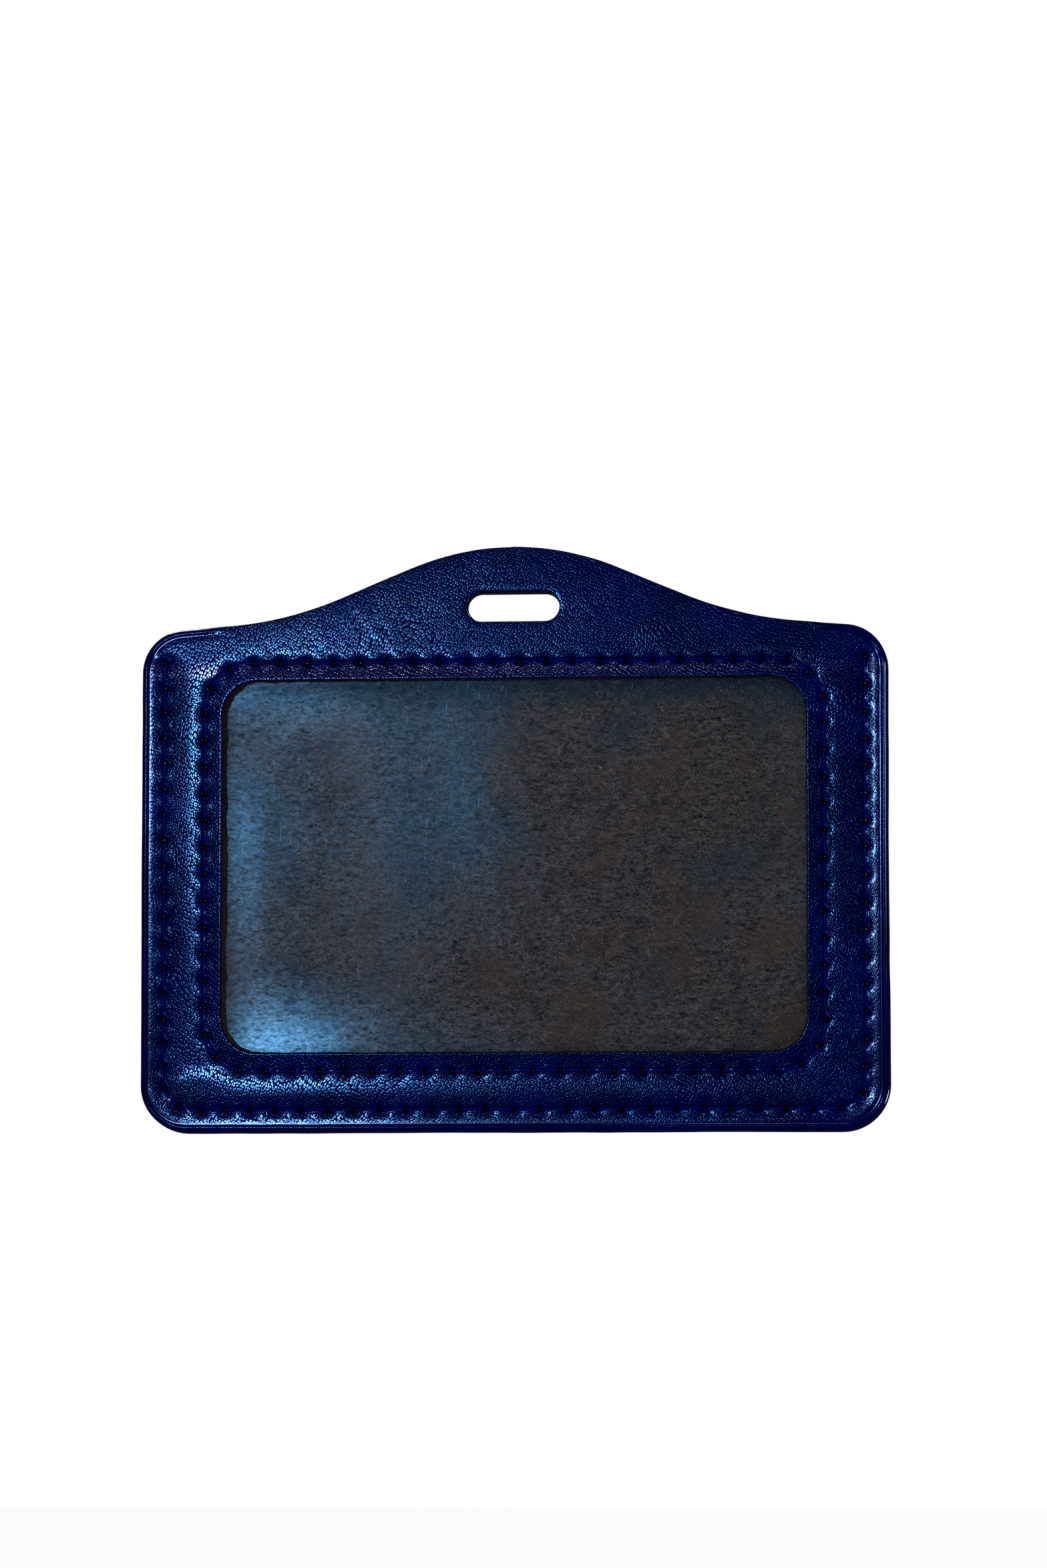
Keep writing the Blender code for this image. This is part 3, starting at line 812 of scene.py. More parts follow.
def front_backing():
    outer = resample(OUTLINE, 0.6)
    on = inward(outer)
    outer = outer + on * (0.15 + 1.0 * ease(-outer[:, 1], 4.5, 9.5))[:, None]
    win = resample(box_path(BACKING_WINDOW, BACKING_WINDOW_R), 0.2)
    left = 1 - ease(win[:, 0], -43.0, -30.0)
    win = win + inward(win) * (
        (0.10 + 0.14 * left)
        * (
            0.6 * NOISE[3](np.arange(len(win)) * 0.2, 0 * left, 1.3)
            + 0.45 * NOISE[3](np.arange(len(win)) * 0.2, 5 + 0 * left, 0.5)
            + 0.25 * NOISE[3](np.arange(len(win)) * 0.2, 11 + 0 * left, 0.22)
        )
    )[:, None]
    slot = resample(slot_path(0.10, -0.12, 0.12), 0.2)
    slot = ragged(slot, inward(slot), 0.06, 2)
    loops = [outer, win, slot]
    wn, sn = inward(win), inward(slot)
    extra = np.vstack([win - wn * 0.12, win - wn * 0.30, slot - sn * 0.15])
    pts, tri, start = triangulate(loops, extra)
    x, z = pts[:, 0], pts[:, 1]
    dip = 0.05 * NOISE[8](x, z, 0.5) + 0.03 * NOISE[9](x, z, 0.25)
    near = BoxPath(BACKING_WINDOW, BACKING_WINDOW_R).near(pts)[0] < 0.27
    y0 = BACKING_FRONT + np.where(near, 0.03 + dip, 0.0)
    y1 = BACKING_BACK - np.where(near, 0.02 + dip, 0.0)
    a, b, c = (pts[tri[:, k]] for k in range(3))
    area = 0.5 * np.abs((b[:, 0] - a[:, 0]) * (c[:, 1] - a[:, 1]) - (b[:, 1] - a[:, 1]) * (c[:, 0] - a[:, 0])).sum() * MM * MM
    flat = tuple(float(v) * MM for v in np.ptp(outer, axis=0))
    return solid("front_backing_board", (pts, tri, y0), (pts, tri, y1), [len(outer), len(win), len(slot)], -1, wall_steps=(0.3, 0.6)), flat, float(area)


def window_sheet():
    x0, x1, z0, z1 = WINDOW_SEAM
    loop = resample(box_path((x0 - 3, x1 + 3, z0 - 3, z1 + 3), 3.0), 1.0)
    border = BoxPath((x0 - 3, x1 + 3, z0 - 3, z1 + 3), 3.0)

    def clear_of_border(p):
        d, _, side = border.near(p)
        return (side < 0) & (d > 0.6)

    grid = hexes((x0 - 3, x1 + 3, z0 - 3, z1 + 3), 0.95, clear_of_border)
    pts, tri, _ = triangulate([loop], grid)
    x, z = pts[:, 0], pts[:, 1]
    # the film is drawn flat by the seam and lies back a little inside it
    wx0, wx1, wz0, wz1 = WINDOW
    u = np.clip((2 * x - wx0 - wx1) / (wx1 - wx0), -1, 1)
    v = np.clip((2 * z - wz0 - wz1) / (wz1 - wz0), -1, 1)
    ex = 1 - np.exp(-np.maximum(np.minimum(x - wx0, wx1 - x), 0) / 3.8)
    ez = 1 - np.exp(-np.maximum(np.minimum(z - wz0, wz1 - z), 0) / 3.8)
    lift = 0.15 * (1 - u**2) * (1 - v**2) * (1 - 0.9 * v) + 0.28 * ex * ez
    wave = 0.030 * NOISE[5](x, z, 26.0) + 0.014 * NOISE[2](x, z, 11.0) + 0.003 * NOISE[9](x, z, 4.0)
    lift = lift + ex * ez * wave
    y = SHEET_FRONT + lift
    return solid("window_film", (pts, tri, y), (pts, tri, y + 0.25), [len(loop)], -1, wall_steps=(0.5,))


def rear_lining():
    outer = resample(OUTLINE, 0.5)
    outer = outer + inward(outer) * 0.20
    slot = resample(slot_path(0.0, -0.08, 0.10), 0.3)
    loops = [outer, slot]
    grid = hexes((-56.5, 56.5, -79, 9.5), 0.62, lambda p: domain(p, 0.55, [(slot_cut, 0.35)]))
    pts, tri, _ = triangulate(loops, grid)
    x, z = pts[:, 0], pts[:, 1]
    nap = 0.035 * NOISE[4](x, z, 1.4) + 0.045 * NOISE[5](x, z, 5.0) + 0.03 * NOISE[6](x, z, 0.75)
    # sewn shut below the mouth: there the border meets the turned rim of the front leaf
    shut = (1 - ease(outline_path.near(pts)[0], 2.2, 4.2)) * (1 - ease(z, -10.5, -9.0))
    y0 = LINING_FRONT + nap * (1 - shut) - 0.185 * shut
    y1 = np.full(len(pts), LINING_BACK)
    obj = solid("rear_lining_felt", (pts, tri, y0), (pts, tri, y1), [len(outer), len(slot)], -1, wall_steps=(0.5,))
    slot_area = math.pi * (SLOT_HEIGHT / 2) ** 2 + (SLOT_LENGTH - SLOT_HEIGHT) * SLOT_HEIGHT
    a = outer
    area = abs(np.sum(a[:, 0] * np.roll(a[:, 1], -1) - np.roll(a[:, 0], -1) * a[:, 1])) / 2
    return obj, (area - slot_area) * 1e-6


def tubes(name, centre_lines, radii, sides=3, up=(0.0, 1.0, 0.0)):
    """Many thin round runs in one mesh. centre_lines is (count, points, 3) in mm, radii (count, points)."""
    c = np.asarray(centre_lines, float)
    n, m, _ = c.shape
    t = np.gradient(c, axis=1)
    t /= np.linalg.norm(t, axis=2)[..., None] + 1e-12
    ref = np.broadcast_to(np.array(up, float), t.shape)
    side = np.cross(t, ref)
    side /= np.linalg.norm(side, axis=2)[..., None] + 1e-12
    top = np.cross(side, t)
    a = np.arange(sides) * 2 * np.pi / sides
    ring = (
        side[:, :, None, :] * np.cos(a)[None, None, :, None] + top[:, :, None, :] * np.sin(a)[None, None, :, None]
    ) * np.asarray(radii)[:, :, None, None]
    v = (c[:, :, None, :] + ring).reshape(-1, 3)
    base = (np.arange(n) * m * sides)[:, None, None]
    i = np.arange(m - 1)[None, :, None] * sides
    k = np.arange(sides)[None, None, :]
    k1 = (k + 1) % sides
    p00, p01, p10, p11 = base + i + k, base + i + k1, base + i + sides + k, base + i + sides + k1
    f = [np.stack([p00, p10, p11], -1).reshape(-1, 3), np.stack([p00, p11, p01], -1).reshape(-1, 3)]
    b = np.arange(n) * m * sides
    for q in range(1, sides - 1):
        f.append(np.c_[b, b + q, b + q + 1])
        e = b + (m - 1) * sides
        f.append(np.c_[e, e + q + 1, e + q])
    return v, np.vstack(f)


def lining_fibres():
    """Loose fibres that lie on the felt behind the film."""
    r = np.random.default_rng(11)
    n, m = 9600, 4
    x = r.uniform(-46, 46, n)
    z = r.uniform(-69, -9, n)
    length = r.gamma(2.4, 0.34, n) + 0.35
    angle = r.normal(0.25, 0.75, n)
    bend = r.normal(0, 0.9, n)
    s = np.linspace(-0.5, 0.5, m)[None, :]
    a = angle[:, None] + bend[:, None] * s * 1.6
    step = (length / (m - 1))[:, None]
    px = x[:, None] + np.cumsum(np.cos(a) * step, 1)
    pz = z[:, None] + np.cumsum(np.sin(a) * step, 1)
    nap = 0.035 * NOISE[4](px, pz, 1.4) + 0.045 * NOISE[5](px, pz, 5.0) + 0.03 * NOISE[6](px, pz, 0.75)
    arch = r.uniform(0.0, 0.07, n)[:, None] * (1 - (2 * s) ** 2)
    py = LINING_FRONT + nap - 0.01 - arch
    radius = r.uniform(0.016, 0.034, n)[:, None] * (1 - 0.45 * (2 * np.abs(s)) ** 2)
    v, f = tubes("fibres", np.stack([px, py, pz], -1), radius, 3)
    return make_mesh("lining_fibres", v, f, sharp_deg=0)


# --------------------------------------------------------------------- threads


def stitches(name, path, holes_s, holes_xz, closed, out, rise, ply_r=0.080, twist=1.10, m=15, sides=6, seed=5, shift=0.0):
    """Two-ply stitches from hole to hole. out (-1 on the front, 1 on the back) is not used; rise(u) is the
    thread's height over y = 0 along a stitch."""
    r = np.random.default_rng(seed)
    n = len(holes_s) if closed else len(holes_s) - 1
    lines, radii = [], []
    u = np.linspace(0, 1, m)
    for k in range(n):
        s0 = holes_s[k]
        s1 = holes_s[(k + 1) % len(holes_s)] + (path.total if closed and k == len(holes_s) - 1 else 0.0)
        p = path.at(s0 + (s1 - s0) * u)
        a, b = holes_xz[k], holes_xz[(k + 1) % len(holes_xz)]
        ea, eb = a - p[0], b - p[-1]
        p = p + ea[None] * (1 - u)[:, None] + eb[None] * u[:, None]
        t = np.gradient(p, axis=0)
        t /= np.linalg.norm(t, axis=1)[:, None]
        nrm = np.c_[-t[:, 1], t[:, 0]]
        slant = r.uniform(0.03, 0.10) * (2 * u - 1) * (1 - np.abs(2 * u - 1) ** 6)
        p = p + nrm * (slant + shift)[:, None]
        y = rise(u) + r.uniform(-0.02, 0.02)
        centre = np.c_[p[:, 0], y, p[:, 1]]
        ang = 2 * np.pi * (s1 - s0) * u / twist + r.uniform(0, 6.28)
        for q in (0, np.pi):
            off = ply_r * 0.92
            lines.append(centre + np.c_[nrm[:, 0] * off * np.cos(ang + q), off * np.sin(ang + q), nrm[:, 1] * off * np.cos(ang + q)])
            radii.append(np.full(m, ply_r) * (1 + 0.05 * r.standard_normal()))
    v, f = tubes(name, np.array(lines), np.array(radii), sides)
    # where the thread dives into a hole; the thread's material paints shade there
    dive_shade = np.tile(np.repeat(ease(np.abs(2 * u - 1), 0.68, 0.88), sides), len(lines))
    return make_mesh(name, v, f, {"dive_shade": dive_shade}, sharp_deg=60)


def needle_rise(u):
    return -(1.875 - 0.27 + 0.06 * (1 - (2 * u - 1) ** 2) - 0.75 * np.abs(2 * u - 1) ** 6)


def bobbin_rise(u):
    return 1.875 - 0.15 + 0.08 * (1 - (2 * u - 1) ** 2) - 0.34 * np.abs(2 * u - 1) ** 9


def inside_rise(u):
    return SHEET_BACK + 0.12 + 0.06 * (1 - (2 * u - 1) ** 2) - 0.22 * np.abs(2 * u - 1) ** 9


# ------------------------------------------------------------------- materials


class Graph:
    """Short hand for building a node material."""

    def __init__(self, name):
        self.mat = bpy.data.materials.new(name)
        self.mat.use_nodes = True
        self.tree = self.mat.node_tree
        self.tree.nodes.clear()
        self.out = self.tree.nodes.new("ShaderNodeOutputMaterial")

    def node(self, kind, inputs=None, **props):
        n = self.tree.nodes.new(kind)
        for k, v in props.items():
            setattr(n, k, v)
        for k, v in (inputs or {}).items():
            self.put(n.inputs[k], v)
        return n

    def put(self, socket, v):
        if isinstance(v, bpy.types.NodeSocket):
            self.tree.links.new(v, socket)
        elif isinstance(v, bpy.types.Node):
            self.tree.links.new(v.outputs[0], socket)
        else:
            socket.default_value = v

    def math(self, op, a, b=None, c=None, clamp=False):
        n = self.tree.nodes.new("ShaderNodeMath")
        n.operation, n.use_clamp = op, clamp
        for i, v in enumerate((a, b, c)):
            if v is not None:
                self.put(n.inputs[i], v)
        return n.outputs[0]

    def range(self, v, a, b, c=0.0, d=1.0, kind="SMOOTHSTEP"):
        n = self.node("ShaderNodeMapRange", interpolation_type=kind)
        for i, x in enumerate((v, a, b, c, d)):
            self.put(n.inputs[i], x)
        return n.outputs[0]

    def mix(self, fac, a, b, blend="MIX"):
        n = self.node("ShaderNodeMix", data_type="RGBA", blend_type=blend)
        self.put(n.inputs[0], fac)
        self.put(n.inputs[6], a)
        self.put(n.inputs[7], b)
        return n.outputs[2]

    def noise(self, vector, scale, detail=2.0, rough=0.5, dims="3D"):
        n = self.node("ShaderNodeTexNoise", noise_dimensions=dims)
        self.put(n.inputs["Vector"], vector)
        self.put(n.inputs["Scale"], scale)
        self.put(n.inputs["Detail"], detail)
        self.put(n.inputs["Roughness"], rough)
        return n.outputs["Fac"]

    def attribute(self, name, which="Fac"):
        return self.node("ShaderNodeAttribute", attribute_name=name).outputs[which]

    def bump(self, height, distance, strength=1.0, normal=None):
        n = self.node("ShaderNodeBump")
        self.put(n.inputs["Height"], height)
        self.put(n.inputs["Distance"], distance)
        self.put(n.inputs["Strength"], strength)
        if "Filter Width" in n.inputs:
            n.inputs["Filter Width"].default_value = 0.2
        if normal is not None:
            self.put(n.inputs["Normal"], normal)
        return n.outputs[0]


def rgb(r, g, b):
    return (r, g, b, 1.0)


SHINE = rgb(0.105, 0.36, 1.0)  # the lacquer's blue shine


def mounds(g, pos):
    """Soft round patches at places on the face, in mm."""
    split = g.node("ShaderNodeSeparateXYZ", inputs={"Vector": pos})
    px, pz = split.outputs["X"], split.outputs["Z"]

    def hill(cx, cz, rx, rz):
        a = g.math("MULTIPLY_ADD", px, 1000.0 / rx, -cx / rx)
        b = g.math("MULTIPLY_ADD", pz, 1000.0 / rz, -cz / rz)
        d = g.math("ADD", g.math("MULTIPLY", a, a), g.math("MULTIPLY", b, b))
        return g.math("EXPONENT", g.math("MULTIPLY", d, -1.0))

    return hill


def leather_material(name, dark, light, rough=0.12):
    """Small pebbles with flat glossy tops, each a little askew, and narrow creases between them; the creases and the
    needle holes get painted shade.
    """
    g = Graph(name)
    pos = g.node("ShaderNodeTexCoord").outputs["Object"]
    grain = g.attribute("grain", "Vector")
    smooth = g.attribute("smooth")
    hole_shade = g.attribute("hole_shade")
    cut = g.attribute("cut")
    edge = g.node("ShaderNodeTexVoronoi", voronoi_dimensions="2D", feature="DISTANCE_TO_EDGE")
    cell = g.node("ShaderNodeTexVoronoi", voronoi_dimensions="2D", feature="F1")
    for n in (edge, cell):
        g.put(n.inputs["Vector"], grain)
        n.inputs["Scale"].default_value = 1.0
        n.inputs["Randomness"].default_value = 0.62
    grown = g.noise(grain, 0.9, 1.0, 0.5)
    gap = g.math("MULTIPLY_ADD", grown, 0.22, g.math("ADD", edge.outputs["Distance"], -0.10))
    crease = g.range(gap, 0.0, 0.13)
    r2 = g.math("MULTIPLY", cell.outputs["Distance"], cell.outputs["Distance"])
    r4 = g.math("MULTIPLY", r2, r2)
    offset = g.node("ShaderNodeVectorMath", inputs={0: grain, 1: cell.outputs["Position"]}, operation="SUBTRACT")
    askew = g.node("ShaderNodeVectorMath", inputs={0: cell.outputs["Color"], 1: (0.5, 0.5, 0.5)}, operation="SUBTRACT")
    askew2 = g.node("ShaderNodeVectorMath", inputs={0: askew, 1: askew}, operation="MULTIPLY")
    askew3 = g.node("ShaderNodeVectorMath", inputs={0: askew2, 1: askew}, operation="MULTIPLY")
    facet = g.node("ShaderNodeVectorMath", inputs={0: offset, 1: askew3}, operation="DOT_PRODUCT").outputs["Value"]
    height = g.math("MULTIPLY_ADD", r4, -4.6, g.math("MULTIPLY", crease, 0.35))
    height = g.math("MULTIPLY_ADD", facet, 2.4, height)
    rows = g.node("ShaderNodeMapping", inputs={"Vector": grain, "Scale": (0.34, 0.13, 1.0), "Rotation": (0.0, 0.0, 0.5)})
    height = g.math("MULTIPLY_ADD", g.noise(grain, 0.50, 1.0, 0.5), 0.18, height)
    height = g.math("MULTIPLY_ADD", g.noise(rows, 1.0, 2.0, 0.5), 0.40, height)
    amount = g.math("SUBTRACT", 1.0, smooth, clamp=True)
    normal = g.bump(height, 0.0000175, amount)
    cut_noise = g.noise(pos, 5200.0, 3.0, 0.65)
    normal = g.bump(cut_noise, 0.00006, cut, normal)
    patch = g.noise(pos, 95.0, 3.0, 0.55)
    colour = g.mix(g.range(patch, 0.35, 0.68), dark, light)
    crease_mask = g.math("MULTIPLY", amount, g.math("SUBTRACT", 1.0, crease))
    # painted shade: the creases between the pebbles are darkened
    colour = g.mix(g.math("MULTIPLY", crease_mask, 0.55), colour, rgb(0.00005, 0.0001, 0.010))
    # painted shade: the needle holes are darkened almost to black
    colour = g.mix(g.math("MULTIPLY", hole_shade, 0.97), colour, rgb(0.00003, 0.00003, 0.0006))
    fibre = g.mix(g.range(cut_noise, 0.35, 0.7), rgb(0.0006, 0.0006, 0.003), rgb(0.010, 0.008, 0.010))
    colour = g.mix(cut, colour, fibre)
    wear = g.noise(pos, 700.0, 2.0, 0.6)
    roughness = g.math("MULTIPLY_ADD", wear, 0.05, rough - 0.025)
    roughness = g.math("MULTIPLY_ADD", crease_mask, 0.06, roughness)
    roughness = g.math("MULTIPLY_ADD", cut, 0.6, roughness, clamp=True)
    shader = g.node("ShaderNodeBsdfPrincipled")
    g.put(shader.inputs["Base Color"], colour)
    g.put(shader.inputs["Roughness"], roughness)
    g.put(shader.inputs["Normal"], normal)
    shader.inputs["IOR"].default_value = 1.5
    # painted highlight: the shine is raised in two placed patches, on the hump's upper left and at the lower left
    # corner
    hill = mounds(g, pos)
    painted_highlight_level = g.math("MULTIPLY_ADD", hill(-34.0, -1.5, 11.0, 5.0), 0.024, 0.06)
    painted_highlight_level = g.math("MULTIPLY_ADD", hill(-42.0, -72.0, 9.0, 5.5), 0.020, painted_highlight_level)
    # painted highlight: along the window's upper edge the front face's shine is raised and tinted pink, as painted warm
    # glints
    face = g.math("LESS_THAN", g.node("ShaderNodeSeparateXYZ", inputs={"Vector": pos}).outputs["Y"], 0.0)
    warm_glint_strip = g.math("MULTIPLY", hill(0.0, -9.5, 52.0, 1.1), face)
    g.put(shader.inputs["Specular IOR Level"], g.math("MULTIPLY_ADD", warm_glint_strip, 0.07, painted_highlight_level))
    tint = g.mix(g.math("MULTIPLY", smooth, 0.22), SHINE, rgb(0.70, 0.80, 1.0))
    g.put(shader.inputs["Specular Tint"], g.mix(g.math("MULTIPLY", warm_glint_strip, 0.45), tint, rgb(1.0, 0.72, 0.80)))
    g.put(g.out.inputs["Surface"], shader.outputs[0])
    return g.mat


def fibre_streaks(g, pos, scale=1.0):
    """Short streaks lying three ways, the same through the whole thickness, so that the film's haze follows the felt's."""
    drift = g.node("ShaderNodeTexNoise", inputs={"Vector": pos, "Scale": 700.0, "Detail": 1.0}).outputs["Color"]
    bent = g.node("ShaderNodeVectorMath", operation="MULTIPLY_ADD", inputs={0: drift, 1: (0.0007, 0.0, 0.0007), 2: pos})
    total = None
    for turn, size, share in ((0.18, 2900.0, 0.36), (-0.42, 3600.0, 0.30), (1.15, 4200.0, 0.20), (-0.1, 1100.0, 0.22)):
        way = g.node("ShaderNodeMapping", inputs={"Vector": bent, "Rotation": (0.0, turn, 0.0), "Scale": (3.2, 1000.0, 1.0)}, vector_type="TEXTURE")
        part = g.noise(way, size * scale, 2.0, 0.6)
        total = g.math("MULTIPLY_ADD", part, share, 0.0 if total is None else total)
    return total


def felt_material(name, dark, light, warm, cool, scale=1.0, shade=None):
    """Pressed fibres: short streaks over slow patches of browner and cooler grey; with shade given, a painted shadow
    darkens the felt towards its top.
    """
    g = Graph(name)
    pos = g.node("ShaderNodeTexCoord").outputs["Object"]
    strands = fibre_streaks(g, pos, scale)
    tone = g.range(strands, 0.45, 0.64, kind="LINEAR")
    cloud = g.noise(pos, 75.0, 3.0, 0.55)
    cloud2 = g.noise(pos, 260.0, 2.0, 0.6)
    cloud3 = g.noise(pos, 48.0, 2.0, 0.5)
    colour = g.mix(tone, dark, light)
    colour = g.mix(g.math("MULTIPLY", g.range(cloud, 0.46, 0.62), 0.72), colour, warm)
    colour = g.mix(g.math("MULTIPLY", g.range(cloud3, 0.50, 0.64), 0.60), colour, cool)
    colour = g.mix(g.math("MULTIPLY", g.range(cloud2, 0.5, 0.72), 0.40), colour, dark)
    # painted shadow: towards its top, under the window's upper edge, the felt is darkened to a cool dark shade with a
    # cloudy border
    if shade:
        height = g.node("ShaderNodeSeparateXYZ", inputs={"Vector": pos}).outputs["Z"]
        high = g.math("MULTIPLY_ADD", cloud, 0.006, height)
        colour = g.mix(g.math("MULTIPLY", g.range(high, -0.0135, -0.0085), 0.72), colour, shade)
    normal = g.bump(strands, 0.00009, 0.9)
    shader = g.node("ShaderNodeBsdfPrincipled")
    g.put(shader.inputs["Base Color"], colour)
    g.put(shader.inputs["Normal"], normal)
    shader.inputs["Roughness"].default_value = 0.95
    shader.inputs["Specular IOR Level"].default_value = 0.05
    shader.inputs["Specular Tint"].default_value = SHINE
    g.put(g.out.inputs["Surface"], shader.outputs[0])
    return g.mat


def fibre_material():
    g = Graph("felt_fibre")
    pos = g.node("ShaderNodeTexCoord").outputs["Object"]
    v = g.noise(pos, 900.0, 1.0, 0.5)
    colour = g.mix(g.range(v, 0.42, 0.66), rgb(0.022, 0.017, 0.014), rgb(0.15, 0.125, 0.108))
    shader = g.node("ShaderNodeBsdfPrincipled")
    g.put(shader.inputs["Base Color"], colour)
    shader.inputs["Roughness"].default_value = 0.45
    g.put(g.out.inputs["Surface"], shader.outputs[0])
    return g.mat


def thread_material():
    g = Graph("blue_thread_twist")
    pos = g.node("ShaderNodeTexCoord").outputs["Object"]
    n = g.noise(pos, 6500.0, 3.0, 0.7)
    m = g.noise(pos, 500.0, 2.0, 0.5)
    colour = g.mix(g.range(n, 0.3, 0.7), rgb(0.0002, 0.0012, 0.075), rgb(0.0006, 0.0036, 0.20))
    colour = g.mix(g.math("MULTIPLY", g.range(m, 0.45, 0.75), 0.5), colour, rgb(0.0001, 0.0006, 0.045))
    # painted shade: the thread is darkened almost to black where it dives into its holes
    colour = g.mix(g.math("MULTIPLY", g.attribute("dive_shade"), 0.96), colour, rgb(0.00003, 0.00004, 0.0012))
    shader = g.node("ShaderNodeBsdfPrincipled")
    g.put(shader.inputs["Base Color"], colour)
    shader.inputs["Specular IOR Level"].default_value = 0.02
    shader.inputs["Specular Tint"].default_value = SHINE
    g.put(shader.inputs["Roughness"], g.range(n, 0.2, 0.8, 0.42, 0.68, "LINEAR"))
    g.put(shader.inputs["Normal"], g.bump(n, 0.00003, 0.8))
    g.put(g.out.inputs["Surface"], shader.outputs[0])
    return g.mat


def film_material():
    """Clear soft film: what is behind shows through; the lamps show as a soft haze, made stronger in placed patches as
    a painted reflection.
    """
    g = Graph("clear_film")
    pos = g.node("ShaderNodeTexCoord").outputs["Object"]
    hill = mounds(g, pos)
    haze = g.noise(pos, 130.0, 4.0, 0.6)
    fibrous = g.range(fibre_streaks(g, pos), 0.44, 0.65, 0.20, 1.90, kind="LINEAR")
    broad = g.noise(pos, 42.0, 2.0, 0.5)
    # painted reflection: the lamps' reflection in the film is real, but its share is raised in placed patches at the
    # lower left corner, along the left edge, at the upper left and in the middle
    painted_reflection_patches = g.math("MULTIPLY_ADD", hill(-36.5, -63.0, 9.0, 6.5), 0.43, 0.08)
    painted_reflection_patches = g.math("MULTIPLY_ADD", hill(-42.5, -42.0, 3.4, 22.0), 0.38, painted_reflection_patches)
    painted_reflection_patches = g.math("MULTIPLY_ADD", hill(-38.0, -14.0, 9.0, 4.0), 0.20, painted_reflection_patches)
    painted_reflection_patches = g.math("MULTIPLY_ADD", hill(-6.0, -31.0, 6.0, 13.0), 0.075, painted_reflection_patches)
    painted_reflection_patches = g.math("MULTIPLY", painted_reflection_patches, g.range(broad, 0.32, 0.66, 0.35, 1.5, kind="LINEAR"))
    painted_reflection_patches = g.math("MULTIPLY", painted_reflection_patches, fibrous)
    facing = g.node("ShaderNodeLayerWeight", inputs={"Blend": 0.5}).outputs["Facing"]
    f5 = g.math("POWER", facing, 4.0)
    fac = g.math("MULTIPLY_ADD", painted_reflection_patches, 0.0043, g.math("MULTIPLY", f5, 0.25))
    scr1 = g.node("ShaderNodeMapping", inputs={"Vector": pos, "Rotation": (0.0, 0.25, 0.0), "Scale": (14.0, 1.0, 1.0)})
    scr2 = g.node("ShaderNodeMapping", inputs={"Vector": pos, "Rotation": (0.0, -1.1, 0.0), "Scale": (16.0, 1.0, 1.0)})
    s1 = g.range(g.noise(scr1, 260.0, 3.0, 0.75), 0.63, 0.72)
    s2 = g.range(g.noise(scr2, 210.0, 3.0, 0.75), 0.64, 0.73)
    cloud = g.range(g.noise(pos, 55.0, 2.0, 0.5), 0.45, 0.70)
    mask = g.math("MULTIPLY", g.math("MAXIMUM", s1, s2), g.math("MULTIPLY_ADD", hill(-5.5, -33.0, 4.0, 12.0), 1.3, cloud))
    rough = g.math("MULTIPLY_ADD", haze, 0.05, 0.185)
    rough = g.math("MULTIPLY_ADD", mask, 0.10, rough)
    gloss = g.node("ShaderNodeBsdfGlossy")
    g.put(gloss.inputs["Color"], g.mix(g.range(facing, 0.05, 0.30), rgb(0.105, 0.355, 0.68), rgb(0.42, 0.52, 0.60)))
    g.put(gloss.inputs["Roughness"], rough)
    clear = g.node("ShaderNodeBsdfTransparent")
    clear.inputs["Color"].default_value = rgb(0.965, 0.975, 0.98)
    fac = g.math("MULTIPLY_ADD", mask, 0.0055, fac, clamp=True)
    mixer = g.node("ShaderNodeMixShader")
    g.put(mixer.inputs[0], fac)
    g.put(mixer.inputs[1], clear.outputs[0])
    g.put(mixer.inputs[2], gloss.outputs[0])
    g.put(g.out.inputs["Surface"], mixer.outputs[0])
    return g.mat


NAVY = leather_material("navy_grained_leather", rgb(0.0001, 0.0003, 0.022), rgb(0.0001, 0.0006, 0.041))
# the felt's last colour is a painted shadow under the window's upper edge
FELT = felt_material("grey_felt", rgb(0.008, 0.0065, 0.006), rgb(0.069, 0.056, 0.052), rgb(0.044, 0.027, 0.017), rgb(0.015, 0.023, 0.032), 1.0, rgb(0.006, 0.017, 0.032))
# the backing's grey-brown is its own colour, but darkened nearly to black as painted shade for the shadow along the
# window's cut edge
BOARD = felt_material("grey_brown_backing", rgb(0.003, 0.002, 0.002), rgb(0.016, 0.010, 0.008), rgb(0.018, 0.009, 0.006), rgb(0.004, 0.004, 0.005), 1.6)
FIBRE = fibre_material()
THREAD = thread_material()
FILM = film_material()


def dress(obj, mat, body="holder"):
    obj.data.materials.clear()
    obj.data.materials.append(mat)
    if body:
        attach(obj, body)
    return obj


# ---------------------------------------------------------------------- pieces

front = front_leather()
add_grain(front)
dress(front, NAVY)
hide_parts("front_leather")

board, board_flat, board_area = front_backing()
dress(board, BOARD)
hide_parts("front_backing")

film = dress(window_sheet(), FILM)
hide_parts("window_sheet")

felt, felt_area = rear_lining()
dress(felt, FELT, None)
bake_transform(felt)
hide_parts("rear_lining", "rear_flap_lining")

fibres = dress(lining_fibres(), FIBRE)

rear = rear_leather()
add_grain(rear)
dress(rear, NAVY, None)
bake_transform(rear)
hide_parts("rear_leather", "rear_flap_leather")

